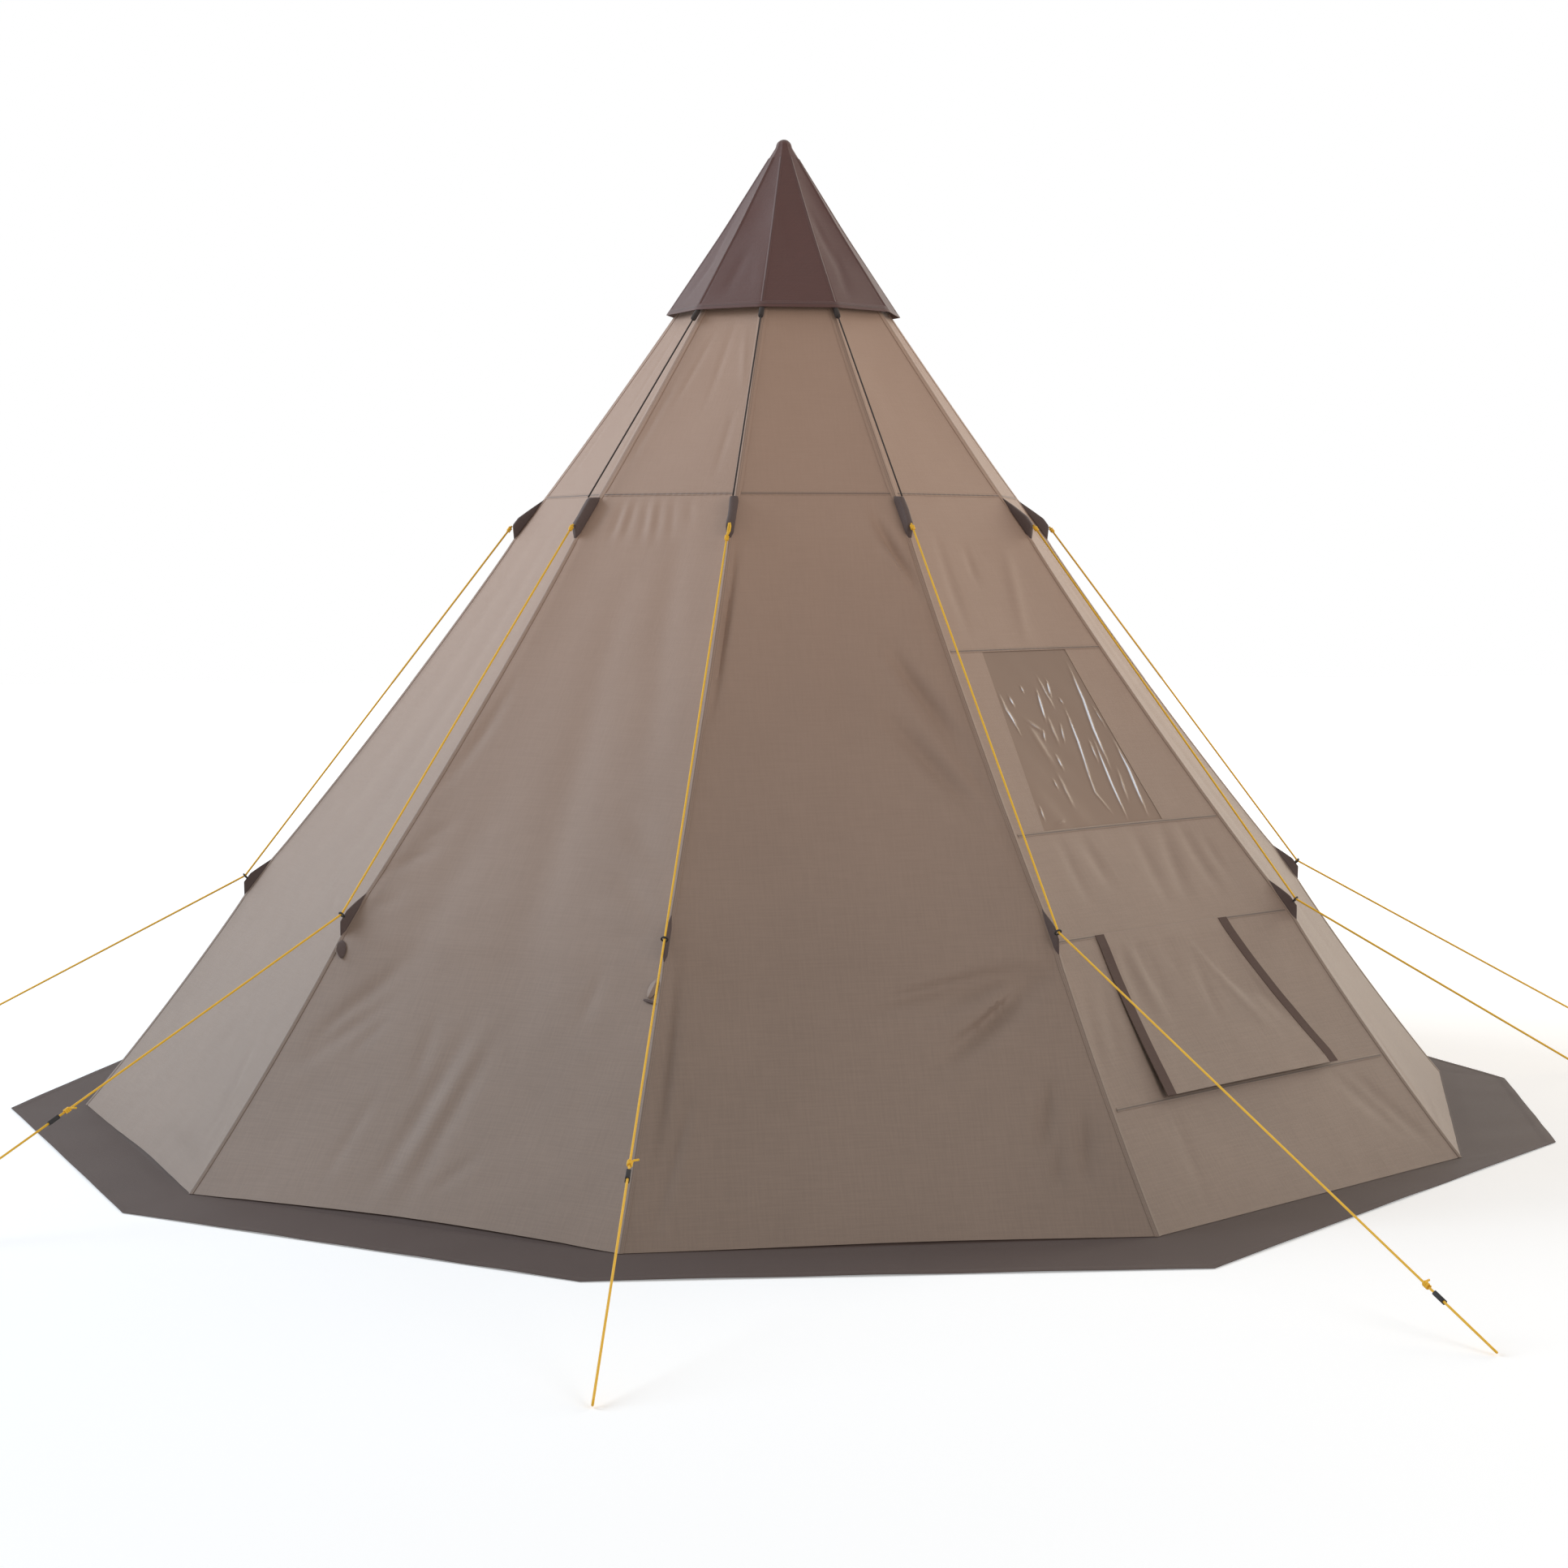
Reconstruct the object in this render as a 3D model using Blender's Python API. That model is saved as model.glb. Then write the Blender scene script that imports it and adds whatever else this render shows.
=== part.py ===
"""Ten-sided camping tipi with one centre pole, a rain cap and ten guy lines.

Metres, +Z up. The ground is z = 0 and the pole stands on the origin. Ridges and gores are numbered
anticlockwise seen from above, from the ridge that points along -X. The gore that faces -Y is number 3,
the window is in number 4 and the door in number 8.
"""

import math

import bmesh
import bpy
from mathutils import Matrix, Vector

# Plan and profile of the canopy, measured at its ridges
SIDES = 10
BASE_RADIUS = 2.245
SEAM_RADIUS = 0.767
SEAM_HEIGHT = 1.932
WALL_TOP_RADIUS = 0.230
WALL_TOP_RISE = 0.754
WALL_TOP_HEIGHT = SEAM_HEIGHT + WALL_TOP_RISE
HALF_GORE = math.pi / SIDES
FIRST_RIDGE_TURN = math.pi

# Cloth and the gap between pieces that touch
WALL = 0.002
NET = 0.0015
CLEAR_SHEET = 0.001
GAP = 0.0003
OVERRUN = 0.01

# Ground skirt
SKIRT_WIDTH = 0.230
SKIRT_TUCK = 0.090
SKIRT_THICKNESS = 0.003
HEM_HEIGHT = SKIRT_THICKNESS + GAP

# Folds of the plain gores: all of them go in from the flat face
GORE_COLUMNS = 10
GORE_ROWS = 6
ROWS_ABOVE_SEAM = 2
SAG_DEPTH = 0.012
CREASE_DEPTH = 0.010
CREASE_WIDTH_SHARE = 0.16
# each crease: share across at its foot and at its head, height share of its foot and its head
CREASE_SHARES = (
    ((-0.60, -0.30, 0.45, 1.00), (0.10, 0.00, 0.50, 1.00), (0.66, 0.40, 0.10, 0.70)),
    ((-0.40, -0.55, 0.40, 1.00), (0.20, 0.05, 0.30, 1.00), (0.70, 0.55, 0.50, 1.00)),
    ((0.80, 0.30, 0.40, 1.00), (0.30, -0.15, 0.15, 0.90), (-0.62, -0.45, 0.10, 0.60)),
)

# Window and vent in gore 4: heights, and shares across at the lower and the upper edge
WINDOW_GORE = 4
WINDOW_BOTTOM = 0.968
WINDOW_TOP = 1.470
WINDOW_LEFT_SHARES = (-0.706, -0.560)
WINDOW_RIGHT_SHARES = (0.455, 0.526)
SEWN_OVERLAP = 0.015
OPENING_STRIPS = 3
VENT_BOTTOM = 0.330
VENT_TOP = 0.670
VENT_LEFT_SHARES = (-0.590, -0.606)
VENT_RIGHT_SHARES = (0.555, 0.400)
FLAP_LAP = 0.030
FLAP_THICKNESS = 0.002
FLAP_STAND = 0.016
FLAP_ROWS = 5
FLAP_COLUMNS = 5
WEBBING_WIDTH = 0.032
WEBBING_THICKNESS = 0.0015
WEBBING_EDGE = 0.001

# Door in gore 8: it is unzipped at both sides and swings up about its top edge
DOOR_GORE = 8
DOOR_SILL = 0.150
DOOR_TOP = 1.640
DOOR_SHARE = 0.72
DOOR_EDGE_GAP = 0.006
DOOR_THICKNESS = 0.002
DOOR_ROWS = 5
ZIP_WIDTH = 0.012
ZIP_THICKNESS = 0.003
ZIP_INSET = 0.004
SLIDER_LENGTH = 0.022
SLIDER_WIDTH = 0.014
SLIDER_THICKNESS = 0.006
TAG_LENGTH = 0.040
TAG_WIDTH = 0.008
TAG_THICKNESS = 0.0025

# Ridge tape, with the two flaps that carry the guy line
TAPE_WIDTH = 0.016
TAPE_THICKNESS = 0.002
UPPER_FLAP_DROP = 0.008
UPPER_FLAP_HEIGHT = SEAM_HEIGHT - UPPER_FLAP_DROP
UPPER_FLAP_LENGTH = 0.124
UPPER_FLAP_STAND = 0.030
UPPER_TIP_SHARE = 0.60
CORDED_TIP_SHARE = 0.16
UPPER_HEEL_SHARE = 0.79
UPPER_ROOT_HALF = 0.0095
UPPER_EDGE_HALF = 0.0085
LOWER_FLAP_HEIGHT = 0.783
LOWER_FLAP_LENGTH = 0.115
LOWER_FLAP_STAND = 0.026
LOWER_TIP_SHARE = 0.53
LOWER_HEEL_SHARE = 0.77
LOWER_ROOT_HALF = 0.006
LOWER_EDGE_HALF = 0.0022
RING_RADIUS = 0.0085
RING_WIRE = 0.0025
RING_STEPS = 12
RING_SIDES = 6

# Guy lines: reach of each ground loop from the pole, its turn off the ridge, and the doubled length
GUY_DIAMETER = 0.006
GUY_REACHES = (3.13, 3.16, 3.49, 3.46, 3.16, 3.08, 2.77, 2.77, 2.77, 2.62)
GUY_TURN_SHARES = (0.0, 0.0, 0.114, 0.040, 0.0, 0.0, 0.0, 0.0, 0.0, -0.120)
DOUBLED_LENGTHS = (0.600, 0.620, 0.860, 0.250, 0.600, 0.400, 0.450, 0.450, 0.450, 0.450)
STRAND_SPACING = 0.014
BEND_RADIUS = 0.030
BEND_STEPS = 3
LOOP_LENGTH = 0.060
LOOP_BULGE = 0.015
LOOP_STEPS = 9
LOOP_LIFT = 0.002
# knot at the line's end: its steps back towards the loop, and the share of the line's radius at each
KNOT_LENGTH = 0.016
KNOT_STEP_SHARES = ((2.0, 1.0), (1.5, 1.9), (0.5, 1.9), (0.0, 1.0), (-1.0, 1.0))

# Runners, which slide on both strands of the doubled stretch
RUNNER_LENGTH = 0.034
RUNNER_WIDTH = 0.032
RUNNER_THICKNESS = 0.013
RUNNER_BORE_SIDES = 10
RUNNER_ROUNDING = 0.003

# Rain cap, with the elastic cords that hold it down
CAP_HEM_RADIUS = 0.378
CAP_LAP = 0.172
CAP_RISE = 0.561
CAP_HEM_HEIGHT = WALL_TOP_HEIGHT - CAP_LAP
APEX_HEIGHT = CAP_HEM_HEIGHT + CAP_RISE
CAP_THICKNESS = 0.002
TIP_RADIUS = 0.026
TIP_STEPS = 3
CAP_TENSION_DEPTH = 0.006
CORD_DIAMETER = 0.005
CORD_SIDES = 6
CORD_RIDGES = (2, 3, 4, 8, 9, 10)
CORD_RING_RISE = 0.020
CORD_RING_ROOM = 0.0025
TAB_DIAMETER = 0.010
TAB_RISE = 0.004
TAB_LENGTH = 0.058

# Crown net between the wall top and the pole head
CROWN_OVERLAP = 0.020

# Centre pole: three tubes, each swaged into the one below
POLE_RADIUS = 0.016
TUBE_WALL = 0.0015
POLE_JOINT_HEIGHTS = (1.010, 2.010)
SWAGE_LENGTH = 0.080
SWAGE_TAPER = 0.006
POLE_SIDES = 16
FOOT_RADIUS = 0.034
FOOT_THICKNESS = 0.014
FOOT_CHAMFER = 0.003
PLUG_LENGTH = 0.045
HEAD_DROP = 0.120
HEAD_HEIGHT = APEX_HEIGHT - HEAD_DROP
HEAD_COLLAR_THICKNESS = 0.010
HEAD_COLLAR_RADIUS = 0.019
HEAD_NECK_RADIUS = 0.008

CLOTH_COLOUR = (0.262, 0.205, 0.160)
UPPER_CLOTH_COLOUR = (0.262, 0.205, 0.160)
DARK_CLOTH_COLOUR = (0.115, 0.083, 0.075)
BINDING_COLOUR = (0.105, 0.076, 0.068)
LINE_COLOUR = (0.850, 0.400, 0.045)
CORD_COLOUR = (0.035, 0.030, 0.030)
NET_COLOUR = (0.050, 0.045, 0.042)
CLEAR_COLOUR = (0.80, 0.82, 0.82)
STEEL_COLOUR = (0.560, 0.570, 0.580)
BLACK_COLOUR = (0.030, 0.028, 0.028)


# Materials and small helpers

def material(name, colour, roughness, metallic=0.0, alpha=1.0):
    """Principled material, made once for each name."""
    made = bpy.data.materials.get(name)
    if made is None:
        made = bpy.data.materials.new(name)
        made.use_nodes = True
        shader = made.node_tree.nodes["Principled BSDF"]
        shader.inputs["Base Color"].default_value = (*colour, 1.0)
        shader.inputs["Roughness"].default_value = roughness
        shader.inputs["Metallic"].default_value = metallic
        shader.inputs["Alpha"].default_value = alpha
    return made


def add_object(name, data, made_of, matrix=None):
    """New object of some mesh or curve, with its material and its place."""
    item = bpy.data.objects.new(name, data)
    bpy.context.scene.collection.objects.link(item)
    if matrix is not None:
        item.matrix_world = matrix
    if not data.materials:
        data.materials.append(made_of)
    return item


def ridge_turn(number):
    """Turn about Z of a ridge's own axes, whose +X runs out along the ridge."""
    return Matrix.Rotation(FIRST_RIDGE_TURN + (number - 1) * 2 * HALF_GORE, 4, "Z")


def gore_turn(number):
    """Turn about Z of a gore's own axes, whose +X runs out through its middle."""
    return ridge_turn(number) @ Matrix.Rotation(HALF_GORE, 4, "Z")


def finished(work, name):
    """Closed mesh with its faces pointing out."""
    bmesh.ops.remove_doubles(work, verts=work.verts, dist=GAP / 10)
    bmesh.ops.delete(work, geom=[e for e in work.edges if not e.link_faces], context="EDGES")
    bmesh.ops.delete(work, geom=[v for v in work.verts if not v.link_faces], context="VERTS")
    bmesh.ops.recalc_face_normals(work, faces=work.faces)
    data = bpy.data.meshes.new(name)
    work.to_mesh(data)
    work.free()
    return data


def combined(base, others, operation):
    """One mesh: base joined with, or cut by, each of the others in turn."""
    items = []
    for data in (base, *others):
        item = bpy.data.objects.new("combining", data)
        item.hide_render = True
        item.display_type = "WIRE"
        bpy.context.scene.collection.objects.link(item)
        items.append(item)
    for tool in items[1:]:
        step = items[0].modifiers.new("combine", "BOOLEAN")
        step.operation = operation
        step.solver = "EXACT"
        step.object = tool
    bpy.context.view_layer.update()
    graph = bpy.context.evaluated_depsgraph_get()
    data = bpy.data.meshes.new_from_object(items[0].evaluated_get(graph))
    for item in items:
        bpy.data.objects.remove(item)
    return data


def turned(name, outline, steps):
    """Solid of revolution about Z of a closed outline of (radius, height) points."""
    work = bmesh.new()
    points = [work.verts.new((radius, 0.0, height)) for radius, height in outline]
    edges = [work.edges.new((points[i - 1], points[i])) for i in range(len(points))]
    bmesh.ops.spin(
        work,
        geom=points + edges,
        cent=(0.0, 0.0, 0.0),
        axis=(0.0, 0.0, 1.0),
        angle=2 * math.pi,
        steps=steps,
        use_merge=True,
    )
    return finished(work, name)


def loft(name, rings):
    """Closed solid through rings that have the same number of points."""
    work = bmesh.new()
    made = [[work.verts.new(point) for point in ring] for ring in rings]
    count = len(made[0])
    for low, high in zip(made, made[1:]):
        for i in range(count):
            j = (i + 1) % count
            work.faces.new((low[i], low[j], high[j], high[i]))
    work.faces.new(made[0])
    work.faces.new(made[-1])
    return finished(work, name)


def sheet(name, outer, inner, missing=()):
    """Closed sheet between two grids of points; the cells listed in missing are openings."""
    work = bmesh.new()
    grids = [[[work.verts.new(point) for point in row] for row in grid] for grid in (outer, inner)]
    cells = {(i, j) for i in range(len(outer) - 1) for j in range(len(outer[0]) - 1)} - set(missing)
    for i, j in sorted(cells):
        corners = ((i, j), (i, j + 1), (i + 1, j + 1), (i + 1, j))
        beyond = ((i - 1, j), (i, j + 1), (i + 1, j), (i, j - 1))
        front, back = ([grid[a][b] for a, b in corners] for grid in grids)
        work.faces.new(front)
        work.faces.new(back[::-1])
        for side, neighbour in enumerate(beyond):
            if neighbour not in cells:
                following = (side + 1) % 4
                work.faces.new((front[following], front[side], back[side], back[following]))
    return finished(work, name)


# Shape of the canopy

def ridge_radius(height):
    """Radius of the canopy's outer face at a ridge."""
    if height <= SEAM_HEIGHT:
        share = height / SEAM_HEIGHT
        return BASE_RADIUS + (SEAM_RADIUS - BASE_RADIUS) * share
    share = (height - SEAM_HEIGHT) / (WALL_TOP_HEIGHT - SEAM_HEIGHT)
    return SEAM_RADIUS + (WALL_TOP_RADIUS - SEAM_RADIUS) * share


def depth_run(height):
    """How far a facet moves towards the pole, level, for each unit of depth square to it."""
    lower = (BASE_RADIUS - SEAM_RADIUS) / SEAM_HEIGHT * math.cos(HALF_GORE)
    upper = (SEAM_RADIUS - WALL_TOP_RADIUS) / (WALL_TOP_HEIGHT - SEAM_HEIGHT) * math.cos(HALF_GORE)
    runs = [math.hypot(1.0, slope) for slope in (lower, upper)]
    if math.isclose(height, SEAM_HEIGHT):
        return sum(runs) / len(runs)
    return runs[0] if height < SEAM_HEIGHT else runs[1]


def facet_point(share, height, depth=0.0, aside=0.0):
    """Point of a gore in its own axes.

    share runs from -1 at its first ridge to 1 at its second, depth goes in from the outer face, and
    aside is a distance across that is added to the share."""
    out = ridge_radius(height) * math.cos(HALF_GORE) - depth * depth_run(height)
    across = share * (out * math.tan(HALF_GORE) - GAP / 2)
    return Vector((out, across + aside, height))


def between(low, high, share):
    """Value at a share of the way from low to high."""
    return low + (high - low) * share


def spread(low, high, steps):
    """Evenly spaced values from low to high, both included."""
    return [between(low, high, i / steps) for i in range(steps + 1)]


# Gores: the ten cloth panels of the canopy

def fold_depth(share, height, creases):
    """Depth of the sag and the creases of a plain gore; nothing at its ridges, hem, seam and top."""
    if height <= SEAM_HEIGHT:
        up = (height - HEM_HEIGHT) / (SEAM_HEIGHT - HEM_HEIGHT)
        lively = 1.0
    else:
        up = (height - SEAM_HEIGHT) / (WALL_TOP_HEIGHT - SEAM_HEIGHT)
        lively = (WALL_TOP_HEIGHT - SEAM_HEIGHT) / SEAM_HEIGHT
        creases = ()
    inside = 1.0 - share * share
    depth = SAG_DEPTH * inside * math.sin(math.pi * up) * lively
    for foot, head, low, high in creases:
        if low < up < high:
            along = (up - low) / (high - low)
            off = (share - between(foot, head, along)) / CREASE_WIDTH_SHARE
            depth += CREASE_DEPTH * math.exp(-off * off) * math.sin(math.pi * along) * inside
    return max(depth, 0.0)


def plain_gore(name, creases):
    """Gore with no opening: a sheet with its sag and its main creases."""
    heights = spread(HEM_HEIGHT, SEAM_HEIGHT, GORE_ROWS)
    heights += spread(SEAM_HEIGHT, WALL_TOP_HEIGHT, ROWS_ABOVE_SEAM)[1:]
    shares = spread(-1.0, 1.0, GORE_COLUMNS)
    grids = []
    for extra in (0.0, WALL):
        grids.append([
            [facet_point(s, h, fold_depth(s, h, creases) + extra) for s in shares]
            for h in heights
        ])
    return sheet(name, *grids)


def opening_columns(left, right):
    """Shares across at one height: both ridges, both edges of the openings and the strips between."""
    return [-1.0] + spread(left, right, OPENING_STRIPS) + [1.0]


def gore_with_openings(name, levels, open_rows):
    """Gore whose levels are (height, left share, right share); open_rows are cut out between them."""
    grids = []
    for depth in (0.0, WALL):
        grids.append([
            [facet_point(s, height, depth) for s in opening_columns(left, right)]
            for height, left, right in levels
        ])
    missing = [(row, 1 + strip) for row in open_rows for strip in range(OPENING_STRIPS)]
    return sheet(name, *grids, missing)


def window_gore():
    """Gore with the window's opening above the vent's."""
    (vent_left_low, vent_left_high) = VENT_LEFT_SHARES
    (vent_right_low, vent_right_high) = VENT_RIGHT_SHARES
    (left_low, left_high), (right_low, right_high) = WINDOW_LEFT_SHARES, WINDOW_RIGHT_SHARES
    levels = (
        (HEM_HEIGHT, vent_left_low, vent_right_low),
        (VENT_BOTTOM, vent_left_low, vent_right_low),
        (VENT_TOP, vent_left_high, vent_right_high),
        (WINDOW_BOTTOM, left_low, right_low),
        (WINDOW_TOP, left_high, right_high),
        (SEAM_HEIGHT, left_high, right_high),
        (WALL_TOP_HEIGHT, left_high, right_high),
    )
    return gore_with_openings("window_gore", levels, (1, 3))


def door_gore():
    """Gore with the doorway, open from the sill to below the seam."""
    heights = (HEM_HEIGHT, DOOR_SILL, DOOR_TOP, SEAM_HEIGHT, WALL_TOP_HEIGHT)
    levels = [(height, -DOOR_SHARE, DOOR_SHARE) for height in heights]
    return gore_with_openings("door_gore", levels, (1,))


def add_gores(cloth):
    """All ten gores; the plain ones share three meshes, gores across the X axis the same one."""
    plain = [plain_gore(f"gore_folds_{i}", creases) for i, creases in enumerate(CREASE_SHARES)]
    special = {WINDOW_GORE: window_gore(), DOOR_GORE: door_gore()}
    for number in range(1, SIDES + 1):
        across = min(number, SIDES + 1 - number)
        data = special.get(number, plain[across % len(plain)])
        add_object(f"gore_{number:02d}", data, cloth, gore_turn(number))


# What is sewn to the gores: window, vent, door and zips

def panel(name, depth, thickness, low, high, left, right, grow):
    """Flat sheet on a gore, between two heights, grown past them and past its side shares."""
    grids = []
    for extra in (0.0, thickness):
        rows = []
        for height, at in ((low - grow, 0), (high + grow, 1)):
            rows.append([
                facet_point(left[at], height, depth + extra, -grow),
                facet_point(right[at], height, depth + extra, grow),
            ])
        grids.append(rows)
    return sheet(name, *grids)


def add_window(clear, net):
    """Clear pane and vent net, both sewn behind their openings."""
    turn = gore_turn(WINDOW_GORE)
    behind = WALL + GAP
    pane = panel("window_pane", behind, CLEAR_SHEET, WINDOW_BOTTOM, WINDOW_TOP,
                 WINDOW_LEFT_SHARES, WINDOW_RIGHT_SHARES, SEWN_OVERLAP)
    add_object("window_pane", pane, clear, turn)
    vent = panel("vent_net", behind, NET, VENT_BOTTOM, VENT_TOP,
                 VENT_LEFT_SHARES, VENT_RIGHT_SHARES, SEWN_OVERLAP)
    add_object("vent_net", vent, net, turn)


def flap_hinge():
    """Middle of the vent flap's top edge, on its inner face, in the gore's axes."""
    left, right = VENT_LEFT_SHARES[1], VENT_RIGHT_SHARES[1]
    return facet_point((left + right) / 2, VENT_TOP + FLAP_LAP, -GAP)


def flap_strips():
    """Columns of the vent flap: share between its side edges, distance aside and extra thickness."""
    band = [(0.0, 0.0, WEBBING_THICKNESS), (0.0, WEBBING_WIDTH, WEBBING_THICKNESS),
            (0.0, WEBBING_WIDTH + WEBBING_EDGE, 0.0)]
    middle = [(i / FLAP_COLUMNS, 0.0, 0.0) for i in range(1, FLAP_COLUMNS)]
    return band + middle + [(1.0, -aside, extra) for _, aside, extra in reversed(band)]


def add_vent_flap(cloth):
    """Rain flap of the vent, hung from its top edge, with a webbing band down each side."""
    low, high = VENT_BOTTOM - FLAP_LAP, VENT_TOP + FLAP_LAP
    outer, inner = [], []
    for down in spread(0.0, 1.0, FLAP_ROWS):
        height = between(high, low, down)
        at = min(max((height - VENT_BOTTOM) / (VENT_TOP - VENT_BOTTOM), 0.0), 1.0)
        left = facet_point(between(*VENT_LEFT_SHARES, at), height, 0.0, -FLAP_LAP).y
        right = facet_point(between(*VENT_RIGHT_SHARES, at), height, 0.0, FLAP_LAP).y
        stand = GAP + FLAP_STAND * down * down
        for grid, cover in ((outer, FLAP_THICKNESS), (inner, 0.0)):
            row = []
            for share, aside, extra in flap_strips():
                depth = -(stand + cover + (extra if cover else 0.0))
                row.append(facet_point(0.0, height, depth, between(left, right, share) + aside))
            grid.append(row)
    data = sheet("vent_flap", outer, inner)
    hinge = flap_hinge()
    data.transform(Matrix.Translation(-hinge))
    add_object("vent_flap", data, cloth, gore_turn(WINDOW_GORE) @ Matrix.Translation(hinge))


def door_hinge():
    """Middle of the door's top edge, on the canopy's outer face, in the gore's axes."""
    return facet_point(0.0, DOOR_TOP - GAP)


def add_door(cloth):
    """Door flap, which fills the doorway and swings out and up about its top edge."""
    outer, inner = [], []
    for height in spread(DOOR_SILL + GAP, DOOR_TOP - GAP, DOOR_ROWS):
        for grid, depth in ((outer, 0.0), (inner, DOOR_THICKNESS)):
            grid.append([
                facet_point(share, height, depth, -math.copysign(DOOR_EDGE_GAP, share))
                for share in (-DOOR_SHARE, DOOR_SHARE)
            ])
    data = sheet("door_flap", outer, inner)
    hinge = door_hinge()
    data.transform(Matrix.Translation(-hinge))
    add_object("door_flap", data, cloth, gore_turn(DOOR_GORE) @ Matrix.Translation(hinge))


def zip_point(side, height, lift, aside):
    """Point over one zip, in the gore's axes: aside grows away from the doorway."""
    off = side * (ZIP_INSET + ZIP_WIDTH / 2 + aside)
    return facet_point(side * DOOR_SHARE, height, -lift, off)


def zip_frame(side, height):
    """Axes of a zip slider: +X up along the zip, +Z out of the cloth."""
    lift = GAP + ZIP_THICKNESS + GAP
    here = zip_point(side, height, lift, 0.0)
    along = (zip_point(side, height + SLIDER_LENGTH, lift, 0.0) - here).normalized()
    slope = (facet_point(0.0, height + SLIDER_LENGTH) - facet_point(0.0, height)).normalized()
    out = slope.cross(Vector((0.0, 1.0, 0.0))) * -1
    across = out.cross(along)
    frame = Matrix((along, across, out)).transposed().to_4x4()
    frame.translation = here
    return frame


def slider_mesh():
    """Zip slider with its hanging tag, lying along -X from it."""
    half_length, half_width = SLIDER_LENGTH / 2, SLIDER_WIDTH / 2
    nose = half_width / 2
    body = loft("slider", [
        [Vector((x, y, z)) for x, y in (
            (-half_length, -nose), (0.0, -half_width), (half_length, -half_width),
            (half_length, half_width), (0.0, half_width), (-half_length, nose))]
        for z in (0.0, SLIDER_THICKNESS)
    ])
    half_tag = TAG_WIDTH / 2
    start = half_length / 2
    tag_low = SLIDER_THICKNESS - TAG_THICKNESS / 2
    tag = loft("tag", [
        [Vector((x, y, z)) for x, y in (
            (start, -half_tag), (start, half_tag),
            (start - TAG_LENGTH, half_tag), (start - TAG_LENGTH, -half_tag))]
        for z in (tag_low, tag_low + TAG_THICKNESS)
    ])
    return combined(body, [tag], "UNION")


def add_zips(tape, metal):
    """Zip at each side of the doorway, and its slider closed at the sill."""
    turn = gore_turn(DOOR_GORE)
    slider = slider_mesh()
    for side, word in ((-1, "left"), (1, "right")):
        rings = []
        for height in (DOOR_SILL, DOOR_TOP):
            rings.append([
                zip_point(side, height, lift, aside)
                for lift, aside in (
                    (GAP, -ZIP_WIDTH / 2), (GAP, ZIP_WIDTH / 2),
                    (GAP + ZIP_THICKNESS, ZIP_WIDTH / 2), (GAP + ZIP_THICKNESS, -ZIP_WIDTH / 2))
            ])
        add_object(f"zip_{word}", loft(f"zip_{word}", rings), tape, turn)
        place = turn @ zip_frame(side, DOOR_SILL + TAG_LENGTH)
        add_object(f"zip_slider_{word}", slider, metal, place)


# Ridges: the tape over each seam, with its two flaps and its ring

def ridge_point(height, stand=0.0):
    """Point in a ridge's own axes, standing off the tape's outer face square to the ridge."""
    lift = (GAP + TAPE_THICKNESS) * depth_run(height) / math.cos(HALF_GORE)
    slope = (BASE_RADIUS - SEAM_RADIUS) / SEAM_HEIGHT
    long = math.hypot(1.0, slope)
    return Vector((ridge_radius(height) + lift + stand / long, 0.0, height + stand * slope / long))


def tape_mesh():
    """Bent strip that covers the edges of two gores, from the hem to the wall's top."""
    wing = Vector((-math.sin(HALF_GORE), math.cos(HALF_GORE), 0.0)) * TAPE_WIDTH
    rings = []
    for height in (HEM_HEIGHT, SEAM_HEIGHT, WALL_TOP_HEIGHT):
        run = depth_run(height) / math.cos(HALF_GORE)
        inner = Vector((ridge_radius(height) + GAP * run, 0.0, height))
        outer = Vector((ridge_radius(height) + (GAP + TAPE_THICKNESS) * run, 0.0, height))
        other = Vector((wing.x, -wing.y, 0.0))
        rings.append([inner, inner + wing, outer + wing, outer, outer + other, inner + other])
    return loft("tape", rings)


def flap_mesh(top, length, stand, tip_share, heel_share, root_half, edge_half):
    """Folded flap that stands on the ridge: wider at its root than at its outer edge."""
    sunk = TAPE_THICKNESS / 2
    root = [ridge_point(top, -sunk), ridge_point(top - length, -sunk)]
    edge = [ridge_point(top - length * heel_share, stand), ridge_point(top - length * tip_share, stand)]
    rings = []
    for side in (-1, 1):
        ring = [point + Vector((0.0, side * root_half, 0.0)) for point in root]
        ring += [point + Vector((0.0, side * edge_half, 0.0)) for point in edge]
        rings.append(ring)
    data = loft("flap", rings)
    return data


def ring_centre():
    """Centre of the ring, whose wire is sewn into the lower flap's outer edge."""
    share = (LOWER_TIP_SHARE + LOWER_HEEL_SHARE) / 2
    stand = LOWER_FLAP_STAND + RING_RADIUS - RING_WIRE / 2
    return ridge_point(LOWER_FLAP_HEIGHT - LOWER_FLAP_LENGTH * share, stand)


def guy_start():
    """Lower end of the upper flap's outer edge, where the guy line is tied."""
    return ridge_point(UPPER_FLAP_HEIGHT - UPPER_FLAP_LENGTH * UPPER_HEEL_SHARE, UPPER_FLAP_STAND)


def ring_mesh():
    """Ring that turns the guy line: its hole faces along the middle of the line's bend."""
    upper = (ring_centre() - guy_start()).normalized()
    lower = (Vector((GUY_REACHES[0], 0.0, 0.0)) - ring_centre()).normalized()
    axis = (upper + lower).normalized()
    outline = [
        (RING_RADIUS + RING_WIRE * math.cos(a), RING_WIRE * math.sin(a))
        for a in spread(0.0, 2 * math.pi, RING_SIDES)[:-1]
    ]
    data = turned("ring", outline, RING_STEPS)
    data.transform(axis.to_track_quat("Z", "Y").to_matrix().to_4x4())
    data.transform(Matrix.Translation(ring_centre()))
    return data


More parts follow.
